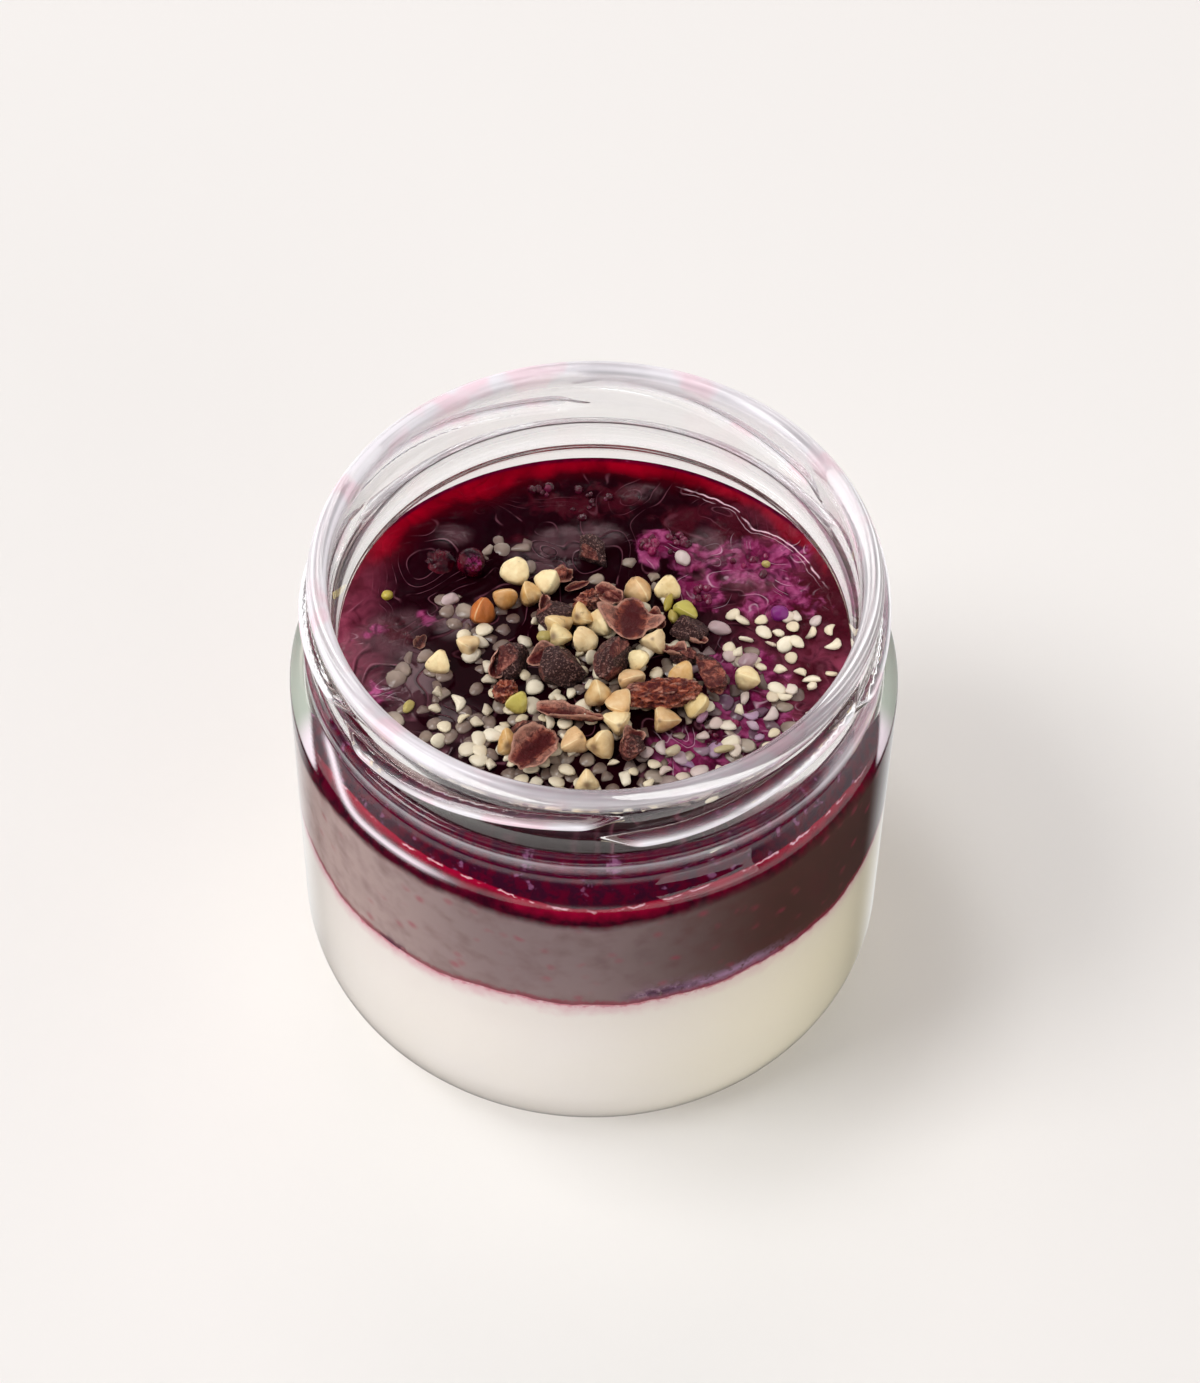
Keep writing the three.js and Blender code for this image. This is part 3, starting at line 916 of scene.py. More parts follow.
@dataclass(frozen=True)
class TinySeed:
    """Tiny green pods and seeds, and single beads of violet or pale fruit."""

    green: Colour = paint(166, 148, 56)
    violet: Colour = paint(122, 28, 112)
    pale: Colour = paint(222, 208, 204)

    def material(self) -> bpy.types.Material:
        """Green, violet or pale by two marks on each seed.

        Returns:
            The material.
        """
        shader = Shader("tiny_seeds")
        colour = shader.mix(self.green, self.violet, shader.mark("violet"))
        colour = shader.mix(colour, self.pale, shader.mark("pale"))
        relief = shader.relief(shader.cloud(0.6, 3), 0.08)
        return shader.surface(Base_Color=colour, Roughness=0.3, Normal=relief)


# The jar


@dataclass
class GlassJar:
    """Squat jar with a rounded heel, a short shoulder, a bead, six short threads and a round lip."""

    height: float = 79.5
    body_radius: float = 42.2
    wall: float = 2.6
    heel_round: float = 11.5
    base: float = 4.0
    foot_inner: float = 25.0
    punt: float = 1.4
    shoulder_start: float = 57.6
    shoulder_top: float = 63.2
    neck_radius: float = 38.6
    bore_radius: float = 36.1
    bore_foot: float = 64.8
    bore_foot_radius: float = 35.2
    inner_shoulder: float = 57.8
    lip_radius: float = 38.9
    lip_band: float = 77.0
    bead_radius: float = 39.9
    bead_top: float = 67.6
    bead_round: float = 1.1
    threads: int = 6
    thread_sweep: float = 66.0
    thread_start: float = 277.0
    thread_high: float = 75.4
    thread_low: float = 71.2
    thread_height: float = 1.6
    thread_width: float = 2.4
    run_out: float = 0.14
    # From here to glint_level, the fields place light painted on the glass: highlights on the lip, the thread
    # crests, the bead and the neck, and the pale wedges and white line at the shoulder's sides.
    lip_bloom: tuple[float, float, float] = (0.38, 0.5, 0.3)
    crest_bloom: float = 1.0
    bead_bloom: float = 0.95
    neck_bloom: float = 0.15
    pane_foot: float = 58.4
    pane_rise: float = 3.2
    pane_reach: tuple[float, float] = (28.0, 24.0)
    glint_level: float = 59.5
    around: int = 432

    def shoulder_inside(self) -> Array:
        """Radius and height down the inside of the shoulder, from the foot of the bore: one Bezier curve.

        Returns:
            One row of radius and height for each point.
        """
        inner = self.body_radius - self.wall
        return bend([
            [self.bore_foot_radius, self.bore_foot], [self.bore_foot_radius, self.bore_foot - 2.5],
            [inner, self.inner_shoulder + 4], [inner, self.inner_shoulder],
        ], 28)

    def radius_inside(self, z: Array) -> Array:
        """The inner radius at heights from the straight wall up to the foot of the bore."""
        r, rows = self.shoulder_inside()[::-1].T
        return np.interp(z, rows, r)

    def outline(self) -> Array:
        """Radius and height from the axis under the foot, up the outside, over the lip and down the bore.

        Arcs round the heel, the bead and the lip, and Bezier curves for the hollow under the foot and the
        two faces of the shoulder. The neck has many rows, since the threads are raised on them.

        Returns:
            One row of radius and height for each point.
        """
        body, bead, neck = self.body_radius, self.bead_radius, self.neck_radius
        inner = body - self.wall
        inner_round = self.heel_round - 3
        lip_round = (self.lip_radius - self.bore_radius) / 2
        lip_middle = (self.lip_radius + self.bore_radius) / 2
        bead_foot = self.shoulder_top + 0.3
        return np.concatenate([
            bend([[0, self.punt], [12, self.punt], [20, 0.6], [self.foot_inner, 0]], 12),
            arc(body - self.heel_round, self.heel_round, self.heel_round, -90, 0, 18),
            bend([
                [body, self.shoulder_start], [body, self.shoulder_start + 3],
                [neck + 0.8, self.shoulder_top - 2.2], [neck + 0.3, self.shoulder_top],
            ], 20),
            arc(bead - self.bead_round, bead_foot + self.bead_round, self.bead_round, -75, 0, 5),
            arc(bead - self.bead_round, self.bead_top - self.bead_round, self.bead_round, 0, 80, 5),
            np.stack([np.full(76, neck), np.linspace(self.bead_top, self.lip_band, 76)], axis=1),
            arc(lip_middle, self.height - lip_round, lip_round, 0, 180, 18),
            bend([
                [self.bore_radius, self.lip_band], [self.bore_radius, self.lip_band - 4],
                [self.bore_foot_radius, self.bore_foot + 5], [self.bore_foot_radius, self.bore_foot + 0.2],
            ], 10),
            self.shoulder_inside(),
            arc(inner - inner_round, self.base + inner_round, inner_round, 0, -90, 12),
            [[0, self.base]],
        ])

    def ridge(self, z: Array, angle: Array) -> Array:
        """How far the threads stand out at a height and an angle.

        Along a thread, the share s runs from 0 at its high end to 1 at its low end, clockwise from above.
        Its middle falls as a smooth step of s. Across it, the ridge is (1 - d^2)^0.7, where d is the
        distance from its middle in half widths, and both ends fade by a smooth step.

        Args:
            z: the heights.
            angle: the angles, in radians.

        Returns:
            The distances, in millimetres.
        """
        total = np.zeros(z.shape)
        for index in range(self.threads):
            start = self.thread_start + 360 * index / self.threads
            share = ((start - np.degrees(angle)) % 360) / self.thread_sweep
            fade = ease(share / self.run_out) * ease((1 - share) / self.run_out)
            middle = self.thread_high + (self.thread_low - self.thread_high) * ease(share * 1.15 - 0.05)
            half = self.thread_width / 2 * (0.35 + 0.65 * fade)
            across = np.clip(1 - ((z - middle) / half) ** 2, 0, 1) ** 0.7
            total = np.maximum(total, self.thread_height * fade * across)
        return total

    def panes(self, z: Array, angle: Array) -> tuple[Array, Array]:
        """Light painted on the shoulder: a pale wedge at each side and a white line along the left.

        A wedge lies between two heights and closes to a point as the angle goes on past the side to the
        front. The white line starts near the left wedge's point and falls to a level.

        Args:
            z: the heights.
            angle: the angles, in radians.

        Returns:
            How strong the marks are and how white, from 0 to 1.
        """
        past = np.degrees(np.arcsin(-np.sin(angle)))
        left = np.cos(angle) < 0
        reach = np.where(left, *self.pane_reach)
        top = self.pane_foot + 0.6 + (self.pane_rise - 0.6) * np.clip((reach - past) / 12, 0, 1) ** 0.7
        wedge = ease((z - self.pane_foot) / 0.5) * ease((top - z) / 0.4) * ease((past + 40) / 60)
        wedge = wedge * ease((reach - past) / 3)
        level = self.glint_level + 2.5 * (1 - ease((past - 23) / 20))
        line = left * np.exp(-(((z - level) / 0.38) ** 2))
        line = line * ease((past - 21) / 6) * (1 - ease((past - 54) / 14))
        white = np.maximum(line, ease((past - reach + 14) / 8))
        return np.maximum(0.85 * wedge, 0.9 * line), white

    def build(self) -> bpy.types.Object:
        """Make the glass, with the light that is painted on it as marks.

        Returns:
            The new object.
        """
        outline = self.outline()
        r, z, angle = turned(outline, self.around)
        peak = int(np.argmax(outline[:, 1]))
        outer = (np.arange(len(outline)) < peak)[:, None] & (z > self.shoulder_top)
        ridge = np.where(outer & (z > self.bead_top) & (z < self.lip_band), self.ridge(z, angle), 0)
        bead_middle = (self.shoulder_top + self.bead_top) / 2
        # Painted highlights: on the lip, stronger at the left and the back, on the thread crests, and weakly
        # at the back of the neck, broken by streaky noise.
        left, back = ease((-np.cos(angle) - 0.1) / 0.6), ease((np.sin(angle) + 0.1) / 0.7)
        right = ease((np.cos(angle) - 0.7) / 0.15) * (np.sin(angle) < 0.1)
        lip = self.lip_bloom[0] + self.lip_bloom[1] * left + self.lip_bloom[2] * back * (1 - left)
        neck = self.neck_bloom * back
        parts = [
            lip * ease((z - self.lip_band + 0.6) / 1.2),
            self.crest_bloom * (ridge / self.thread_height) ** 4,
            neck * outer,
        ]
        bloom = np.maximum.reduce([np.broadcast_to(part, z.shape) for part in parts])
        way = np.cumsum(np.hypot(*np.diff(outline, axis=0, prepend=outline[:1]).T))[:, None]
        streak = Clouds(3).heap(3 * np.cos(angle) + 9, 3 * np.sin(angle) + 9, 1.6 * way, 1.0, 2)
        # A painted highlight line along the bead, wider on the right.
        bead = self.bead_bloom * outer * np.exp(-(((z - bead_middle - 0.7) / (0.42 + 0.7 * right)) ** 2))
        bloom = np.maximum(bloom * (0.35 + 1.3 * streak), bead)
        pane, white = self.panes(z, angle)
        pane = pane * (np.arange(len(outline)) < peak)[:, None]
        grid = upright(r + ridge, z, angle)[None]
        skin = ring_skin(grid, bloom=bloom[None], pane=pane[None], glint=white[None])
        return skin.made("clear_glass_jar", ClearGlass().material(), "glass_jar", slot="glass")


# What fills it


@dataclass
class Levels:
    """The seam, the compote's top, and where pulp, bark, milky pools with painted sheen and thin red syrup
    lie on it.
    """

    radius: float = 39.72
    seam_level: float = 36.0
    seam_tilt: float = 1.1
    seam_wave: float = 0.45
    surface: float = 56.5
    meniscus: float = 0.7
    body_radius: float = 42.2
    heap: tuple[float, ...] = (2.5, -4, 15, 13, 2)
    swells: tuple[tuple[float, ...], ...] = (
        (-1, 31, 5.5, 0.9), (9, 22.5, 3.6, 0.8), (20, 18, 6, 0.7),
        (30, 8, 5, 0.6), (-27, -3, 6, 0.4), (17, 28, 5, 0.5), (-20.5, 20.5, 5, 0.1),
    )
    pulp_patches: tuple[tuple[float, ...], ...] = (
        (23, 21, 4.5, 3.5, 1.0), (15, 15, 3, 2.5, 0.9), (25, 14, 5, 3, 0.6), (8, 23.5, 2.4, 2.4, 0.9),
        (28, 23, 2.5, 2, 0.8), (20, 1, 4.5, 3.5, 0.8), (22, -7, 5, 4.5, 0.9), (14, -14, 5, 3, 0.9),
        (-31, 7, 2, 2, 0.55), (-24, 10, 1.8, 1.5, 0.4), (-30, -5, 2.5, 2.5, 0.45),
        (13, 21.5, 2.6, 2, 0.8),
    )
    bark_patches: tuple[tuple[float, ...], ...] = (
        (0, 31.5, 8, 3, 0.8), (31, 12, 5, 7, 1.0), (30, 0, 4, 6, 0.6), (12, 29, 6, 3, 0.7),
        (-28, 8, 3, 3, 0.6), (-12, 25, 3, 2, 0.4), (33, -6, 3, 7, 0.6), (19, 27, 4, 3, 0.7),
    )
    milk_and_sheen_patches: tuple[tuple[float, ...], ...] = (
        (-22, 25, 5, 3, 0.6), (-2, 25, 6, 2.5, 0.75), (17, 23.5, 4, 3, 1.0), (-28, 1, 6, 8, 0.9),
        (-20, 9, 4, 4, 0.7), (-8, 21, 6, 3, 0.7), (22, 17, 4, 2.5, 0.8), (-22, -10, 8, 7, 0.7),
        (6, 34, 3, 2, 0.7),
    )
    curls: tuple[tuple[float, ...], ...] = (
        (-16, 29.5, 2.4, 0.9), (-7.5, 22.5, 2.2, 0.8), (-21.5, 21.5, 5.5, 1.6), (-29, -2, 3.4, 1.2),
        (17.7, 28, 3.6, 1.1), (-13, 19, 3, 0.9), (24, 17, 3.4, 0.9),
    )
    rings: tuple[tuple[float, ...], ...] = (
        (-21.6, 20.2, 4.4, 5.5), (-13, 22.5, 3.0, 2.5), (-1, 21.5, 3.4, 2.5), (-16, 29.5, 1.6, 3.0),
        (-7.5, 22.5, 1.5, 2.5), (17.7, 28.2, 2.4, 3.0), (16, 23, 2.4, 2.0), (-29, -2, 3.5, 2.5),
        (-25, 10, 3.0, 2.0), (5, 33, 2.5, 2.0), (-24, -8, 3.5, 2.0),
    )
    clouds: Clouds = field(default_factory=lambda: Clouds(11))

    def seam(self, x: Array, y: Array) -> Array:
        """Where yogurt and compote meet: a level, a tilt, three waves round the jar, and a ragged edge.

        Args:
            x, y: the places, in millimetres.

        Returns:
            The heights.
        """
        angle = np.arctan2(y, x)
        tilt = self.seam_tilt * (0.94 * x + 0.34 * y) / self.body_radius
        wave = np.sin(3 * angle + 0.6) + 0.6 * np.sin(7 * angle + 2.1) + 0.4 * np.sin(13 * angle)
        ragged = (self.clouds.heap(x, y, 0.0, 2.2, 3) - 0.5) * 0.9
        return self.seam_level + tilt + self.seam_wave * wave * np.hypot(x, y) / self.body_radius + ragged

    def patches(self, x: Array, y: Array, spots: Sequence[Sequence[float]]) -> Array:
        """The strongest of some bells at each point.

        Args:
            x, y: the places, in millimetres.
            spots: one row for each bell.

        Returns:
            The strengths.
        """
        total = np.zeros(np.broadcast(x, y).shape)
        for cx, cy, sx, sy, strength in spots:
            total = np.maximum(total, strength * bump(x, y, cx, cy, sx, sy))
        return total

    def height(self, x: Array, y: Array) -> Array:
        """The smooth top: the level, the heap, the swells, a slow ripple and the rise to the glass.

        Args:
            x, y: the places, in millimetres.

        Returns:
            The heights.
        """
        hx, hy, spread_x, spread_y, rise = self.heap
        total = self.surface + rise * bump(x, y, hx, hy, spread_x / 1.6, spread_y / 1.6)
        for cx, cy, r, h in self.swells:
            total = total + h * bump(x, y, cx, cy, r / 1.8, r / 1.8)
        rim = ease((np.hypot(x, y) - self.radius + 3) / 3) ** 2
        return total + self.meniscus * rim

    def pulp(self, x: Array, y: Array) -> Array:
        """How much purple pulp shows, from 0 to 1."""
        ragged = self.clouds.heap(x + 40, y, 0.0, 4.0, 3)
        return np.clip(self.patches(x, y, self.pulp_patches) * (0.2 + 1.6 * ragged), 0, 1)

    def bark(self, x: Array, y: Array) -> Array:
        """How much rough red-brown skin shows, from 0 to 1."""
        ragged = self.clouds.heap(x, y + 30, 6.0, 4.0, 3)
        return np.clip(self.patches(x, y, self.bark_patches) * (0.1 + 1.8 * ragged), 0, 1)

    def milk_and_sheen(self, x: Array, y: Array) -> Array:
        """How milky the syrup is, and how much sheen is painted on it, from 0 to 1."""
        ragged = self.clouds.heap(x, y + 60, 0.0, 5.0, 2)
        return ease(self.patches(x, y, self.milk_and_sheen_patches) * (0.4 + 1.2 * ragged) * 3.6 - 1.3)

    def ruby(self, x: Array, y: Array) -> Array:
        """How thin and red the syrup is: at the glass, most of all at the back.

        Args:
            x, y: the places, in millimetres.

        Returns:
            Numbers from 0 to 1.
        """
        r = np.hypot(x, y)
        ragged = self.clouds.heap(x, y, 12.0, 7.0, 3) - 0.5
        back = ease((y + 4 + 6 * ragged) / 30)
        left = ease(-x / 20)
        edge = ease((r - 34.4 + 4 * ragged + 1.5 * (1 - back) + 1.6 * left) / (4.6 + 1.6 * left))
        return np.clip(edge * back, 0, 1)

    def curl(self, x: Array, y: Array) -> Array:
        """Low spiral ridges: the cosine of the distance in pitches less the angle, under a bell.

        Args:
            x, y: the places, in millimetres.

        Returns:
            The ridges' heights.
        """
        total = np.zeros(np.broadcast(x, y).shape)
        for cx, cy, reach, pitch in self.curls:
            distance, angle = np.hypot(x - cx, y - cy), np.arctan2(y - cy, x - cx)
            wave = np.cos(2 * np.pi * distance / pitch - angle)
            total = total + 0.07 * wave * bump(x, y, cx, cy, reach / 1.5, reach / 1.5)
        return total

    def contour(self, x: Array, y: Array) -> Array:
        """A smooth number whose whole values are the contour lines of the syrup.

        It is warped noise, plus a bell about each thing that stands in the syrup, so that lines ring it.

        Args:
            x, y: the places, in millimetres.

        Returns:
            The numbers.
        """
        clouds = self.clouds
        drift_x = 6.0 * clouds.heap(x, y, 3.1, 9.0, 2)
        drift_y = 6.0 * clouds.heap(x, y, 9.7, 9.0, 2)
        total = 7.0 * clouds.heap(x + drift_x, y + drift_y, 5.0, 8.0, 2)
        for cx, cy, reach, rings in self.rings:
            total = total + rings * bump(x + drift_x - 3, y + drift_y - 3, cx, cy, reach, reach)
        return total

    def relief(self, x: Array, y: Array) -> Array:
        """Fine forms on the top: terraces and curls in the syrup, lumps in the pulp.

        Args:
            x, y: the places, in millimetres.

        Returns:
            What is added to the smooth top.
        """
        lumps = self.clouds.heap(x, y, 2.0, 2.8, 2) - 0.5
        rough = np.maximum(self.pulp(x, y), self.bark(x, y))
        calm = 0.03 * self.contour(x, y) + self.curl(x, y)
        return calm * (1 - rough) - 0.2 + 1.5 * lumps * rough


@dataclass
class Yogurt:
    """The white layer in the lower half."""

    levels: Levels
    round: float = 8.38
    bottom: float = 3.88
    around: int = 600

    def build(self) -> bpy.types.Object:
        """Make the layer: a turned foot and wall up to the seam, then rings in to the middle of its top.

        Returns:
            The new object.
        """
        radius = self.levels.radius
        foot = arc(radius - self.round, self.bottom + self.round, self.round, -90, 0, 12)
        r, z, angle = turned(np.concatenate([[[0, self.bottom]], foot]), self.around)
        ring = upright(np.full(self.around, radius), np.zeros(self.around), angle[0])
        x, y = ring[:, 0], ring[:, 1]
        shares = np.linspace(0, 1, 40)[1:, None] ** 0.6
        top = self.levels.seam(x, y) - 0.02
        wall_z = foot[-1, 1] + (top - foot[-1, 1]) * shares
        inward = np.array([0.8, 0.5, 0.2, 0.0])[:, None]
        cap_z = self.levels.seam(x * inward, y * inward) - 0.3
        xs = np.concatenate([r * np.cos(angle), np.broadcast_to(x, wall_z.shape), x * inward])
        ys = np.concatenate([r * np.sin(angle), np.broadcast_to(y, wall_z.shape), y * inward])
        zs = np.concatenate([z, wall_z, cap_z])
        zs[-1] = zs[-1].mean()
        depth = self.levels.seam(radius * np.cos(angle[0]), radius * np.sin(angle[0])) - zs
        skin = ring_skin(np.stack([xs, ys, zs], axis=-1)[None], under_seam=depth[None])
        return skin.made("yogurt", StrainedYogurt().material(), "yogurt_layer", slot="yogurt")


@dataclass
class Compote:
    """The dark layer: a detailed top, the band that shows through the glass, and a plain underside."""

    levels: Levels
    jar: GlassJar
    cells: int = 264
    wall_rows: int = 26
    lip_radius: float = 39.5
    press: float = 0.12
    line_rise: float = 1.6
    film: tuple[float, float] = (0.2, 7.0)
    film_top: float = 64.6
    wine_foot: tuple[float, float] = (3.4, 1.5)
    shore_at: tuple[float, float, float] = (36.9, 1.4, 51.0)
    streak_angle: tuple[float, float] = (-86.0, -42.0)
    streak_level: tuple[float, float] = (1.2, 0.9)
    tear: tuple[float, float, float] = (-131.0, 4.0, 1.2)

    def top(self) -> tuple[Array, Array]:
        """A square grid u, v from -1 to 1 spread over a disc: x = u sqrt(1 - v^2/2), and y likewise.

        Returns:
            The grid's x and y.
        """
        line = np.linspace(-1, 1, self.cells)
        u, v = np.meshgrid(line, line, indexing="ij")
        return self.lip_radius * u * np.sqrt(1 - v * v / 2), self.lip_radius * v * np.sqrt(1 - u * u / 2)

    def edge(self) -> Array:
        """The numbers of the grid's border points, in order round the disc.

        Returns:
            One point number for each.
        """
        n = self.cells
        index = np.arange(n * n).reshape(n, n)
        return np.concatenate([index[:-1, 0], index[-1, :-1], index[:0:-1, -1], index[0, :0:-1]])

    def front(self, angle: Array) -> Array:
        """1 on the side near the viewer and 0 at the back, by a smooth step of minus the sine."""
        return ease((-np.sin(angle) - 0.3) / 0.3)

    def surface(self, x: Array, y: Array) -> Array:
        """The smooth top, its relief away from the glass, and the film that clings to the glass.

        The film's height is e to the power of minus the distance from the glass in quarters of a
        millimetre, times noise round the jar. It climbs highest on the side near the viewer.

        Args:
            x, y: the places, in millimetres.

        Returns:
            The heights.
        """
        levels = self.levels
        gap = self.lip_radius - np.hypot(x, y)
        inside = ease(gap / 2.5)
        angle = np.arctan2(y, x)
        ragged = levels.clouds.heap(9 * np.cos(angle), 9 * np.sin(angle), 30.0, 2.0, 3)
        low, high = self.film
        near = ease((0.05 - np.sin(angle)) / 0.8)
        film = (low + (high - low) * near) * (0.75 + 0.6 * ragged) * np.exp(-gap / 0.25)
        return np.minimum(levels.height(x, y) + levels.relief(x, y) * inside + film, self.film_top)

    def pressed(self, z: Array) -> Array:
        """The radius at which the compote reaches just into the glass, at each height."""
        return np.minimum(self.jar.radius_inside(z) + self.press, self.levels.radius)

    def line(self, angle: Array) -> Array:
        """How far the crimson line lies over the level, by a smooth step of the cosine."""
        return (self.line_rise - 0.4 * np.cos(angle)) * ease(np.abs(np.cos(angle)) / 0.45) * self.front(angle)

    def shore(self, x: Array, y: Array) -> Array:
        """How far out a point is from the line at the right back, where a highlight is painted.

        Args:
            x, y: the places, in millimetres.

        Returns:
            The distances, less than 0 inside the line.
        """
        reach, notch, middle = self.shore_at
        turn = np.degrees(np.arctan2(y, x))
        level = reach - notch * np.exp(-(((turn - middle) / 4) ** 2))
        return np.hypot(x, y) - level

    def build(self) -> bpy.types.Object:
        """Make the layer: grid triangles on top, then rings down the wall and in under it to a point.

        Returns:
            The new object.
        """
        levels, n = self.levels, self.cells
        x, y = (part.ravel() for part in self.top())
        z = self.surface(x, y)
        contact = levels.height(x, y)
        flat_reach = np.hypot(x, y)
        turn = np.arctan2(y, x)
        pulled = np.minimum(1, self.pressed(z) / np.maximum(flat_reach, 1))
        x, y = x * pulled, y * pulled
        border = self.edge()
        i = np.arange(n - 1)
        a = (i[:, None] * n + i[None, :]).ravel()
        grid = np.concatenate([np.stack([a, a + n, a + n + 1], 1), np.stack([a, a + n + 1, a + 1], 1)])
        count = len(border)
        ex, ey, ez = x[border], y[border], z[border]
        angle = np.degrees(np.arctan2(ey, ex))
        shares = np.linspace(0, 1, self.wall_rows + 1)[1:, None]
        reach = np.hypot(ex, ey)
        low = levels.seam(ex * levels.radius / reach, ey * levels.radius / reach)
        wall_z = ez + (low - ez) * shares**1.5
        swell = self.pressed(wall_z) / reach
        under = np.array([0.7, 0.35])[:, None]
        under_z = levels.seam(ex * under, ey * under) - 0.1
        rx = np.concatenate([ex * swell, ex * under]).ravel()
        ry = np.concatenate([ey * swell, ey * under]).ravel()
        rz = np.concatenate([wall_z, under_z]).ravel()
        rows = self.wall_rows + len(under)
        rings = np.concatenate([border[None], n * n + np.arange(rows * count).reshape(rows, count)])
        p, q = rings[:-1], rings[1:]
        p1, q1 = np.roll(p, -1, axis=1), np.roll(q, -1, axis=1)
        walls = [np.stack([p, q, q1], -1).reshape(-1, 3), np.stack([p, q1, p1], -1).reshape(-1, 3)]
        pole = n * n + rows * count
        fan = np.stack([np.full(count, pole), np.roll(rings[-1], -1), rings[-1]], -1)
        if _facing(x, y, grid) < 0:
            grid = grid[:, ::-1]
        points = np.stack([
            np.append(np.append(x, rx), 0.0),
            np.append(np.append(y, ry), 0.0),
            np.append(np.append(z, rz), rz[-1]),
        ], axis=1)
        over = (wall_z - low).ravel()
        spare = np.full(len(under) * count + 1, 9.0)
        line = contact + self.line(turn)
        drop = (line[border] - wall_z).ravel()
        first, last = self.streak_angle
        rise, half = self.streak_level
        along = ease((angle - first) / 10) * ease((last - angle) / 16)
        level = rise + 0.9 * np.sin(np.radians(3.2 * angle))
        streak = along * np.exp(-(((wall_z - low - level) / half) ** 2))
        tear_at, tear_wide, tear_high = self.tear
        tear = np.exp(-(((angle - tear_at) / tear_wide) ** 2) - ((wall_z - low) / tear_high) ** 2)
        crack = along * np.exp(-(((wall_z - low - level + 0.45) / 0.28) ** 2))
        foot_front, foot_side = self.wine_foot
        foot = foot_front - foot_side * np.cos(np.radians(angle))
        foot = np.broadcast_to(foot, wall_z.shape)
        marks = {
            "pulp": self.spread(levels.pulp(x, y), border, rows),
            "bark": self.spread(levels.bark(x, y), border, rows),
            "milk_and_sheen": self.spread(levels.milk_and_sheen(x, y), border, rows),
            "ruby": self.spread(levels.ruby(x, y), border, rows),
            "side": np.concatenate([ease((flat_reach - self.lip_radius + 0.5) / 0.3), np.ones(len(rx) + 1)]),
            "contour": self.spread(levels.contour(x, y), border, rows),
            "shore": self.spread(self.shore(x, y), border, rows),
            "rim": self.spread(self.front(np.arctan2(y, x)), border, rows),
            "depth": np.concatenate([line - z, drop, spare]),
            "wine": np.concatenate([np.full(n * n, foot_front), foot.ravel(), spare]),
            "over_seam": np.concatenate([np.full(n * n, 9.0), over, spare]),
            "streak": np.concatenate([np.zeros(n * n), streak.ravel(), 0 * spare]),
            "crack": np.concatenate([np.zeros(n * n), np.maximum(tear, crack).ravel(), 0 * spare]),
        }
        skin = Skin(points, np.concatenate([grid, *walls, fan]), marks)
        return skin.made("compote", BerryCompote().material(), "compote_with_seeds", slot="compote")

    def spread(self, mark: Array, border: Array, rows: int) -> Array:
        """A mark of the top, carried down the side and under."""
        return np.concatenate([mark, np.tile(mark[border], rows), [0.0]])


def _facing(x: Array, y: Array, faces: Array) -> float:
    """The sum of the triangles' areas as seen from above, negative when they face down."""
    a, b, c = faces.T
    return float(((x[b] - x[a]) * (y[c] - y[a]) - (x[c] - x[a]) * (y[b] - y[a])).sum())


# What lies on it


def risen(levels: Levels, grid: Array, flank: float = 0.0) -> Array:
    """How far each point of a topping stands out, from 0 to 1.

    It is a smooth step of the height over the level, where syrup stains it, less a share of it on the
    lower part of a piece, which is painted shade.

    Args:
        levels: the surface that the topping lies on.
        grid: the points.
        flank: the share of painted shade taken off the lower part.

    Returns:
        One number for each point.
    """
    z = grid[..., 2]
    low, high = z.min(axis=(1, 2), keepdims=True), z.max(axis=(1, 2), keepdims=True)
    dry = ease((z - levels.height(grid[..., 0], grid[..., 1]) + 0.2) / 1.3)
    return dry * (1 - flank * (1 - ease((z - low) / (high - low) / 0.7)))


@dataclass
class Berries:
    """Two small whole berries, half sunk: x, y, radius, height over the level, lean to +X and +Y."""

    levels: Levels
    crowned: tuple[float, ...] = (-17.7, 18.8, 2.15, 1.4, 0.35, -0.7)
    sunken: tuple[float, ...] = (-22.1, 20.0, 2.7, -1.3, -0.5, 0.2)
    rings: int = 64
    around: int = 96

    def shape(self, radius: float, seed: int) -> tuple[Array, Array]:
        """A wrinkled ball with a dimple and a ragged crown at its pole, and how much of it is crown.

        The radius is 1, less a dimple that is a bell about the pole, plus a rim that is a bell about a
        small circle and waves five times round, plus noise for the wrinkles.

        Args:
            radius: the ball's radius.
            seed: the seed of its noise.

        Returns:
            The points, and one number for each.
        """
        ball, tilt, turn = unit_ball(1, self.rings, self.around)
        clouds = Clouds(seed)
        ripple = 0.65 + 0.35 * np.cos(5 * turn + clouds.at(tilt, tilt))
        rim = 0.16 * ripple * np.exp(-(((tilt - 0.46) / 0.11) ** 2))
        dimple = 0.3 * np.exp(-((tilt / 0.26) ** 2))
        folds = np.abs(clouds.heap(*(2.2 * np.moveaxis(ball, -1, 0)), 1.0, 4) - 0.5)
        size = radius * (1 - dimple + rim - 0.22 * folds)
        crown = np.exp(-(((tilt - 0.3) / 0.24) ** 2))
        return ball * size[..., None] * [1, 1, 0.94], crown

    def build(self) -> None:
        """Make both berries."""
        skin = BerrySkin().material()
        names = {"crowned_berry": (self.crowned, 5, 1.0), "sunken_berry": (self.sunken, 9, 0.0)}
        for node, ((x, y, radius, lift, lean_x, lean_y), seed, share) in names.items():
            shape, crown = self.shape(radius, seed)
            spot = np.array([[x, y, self.levels.surface + lift]])
            grid = placed(shape, np.array([[-lean_y, lean_x, 0.0]]), spot)
            ring_skin(grid, crown=share * crown).made(f"{node}_skin", skin, node, slot="berry")


class NibKind(Enum):
    """How a piece of cacao broke: a dark chunk, a red crumbly lump, or a long wedge."""

    CHUNK = "chunk"
    LUMP = "lump"
    WEDGE = "wedge"


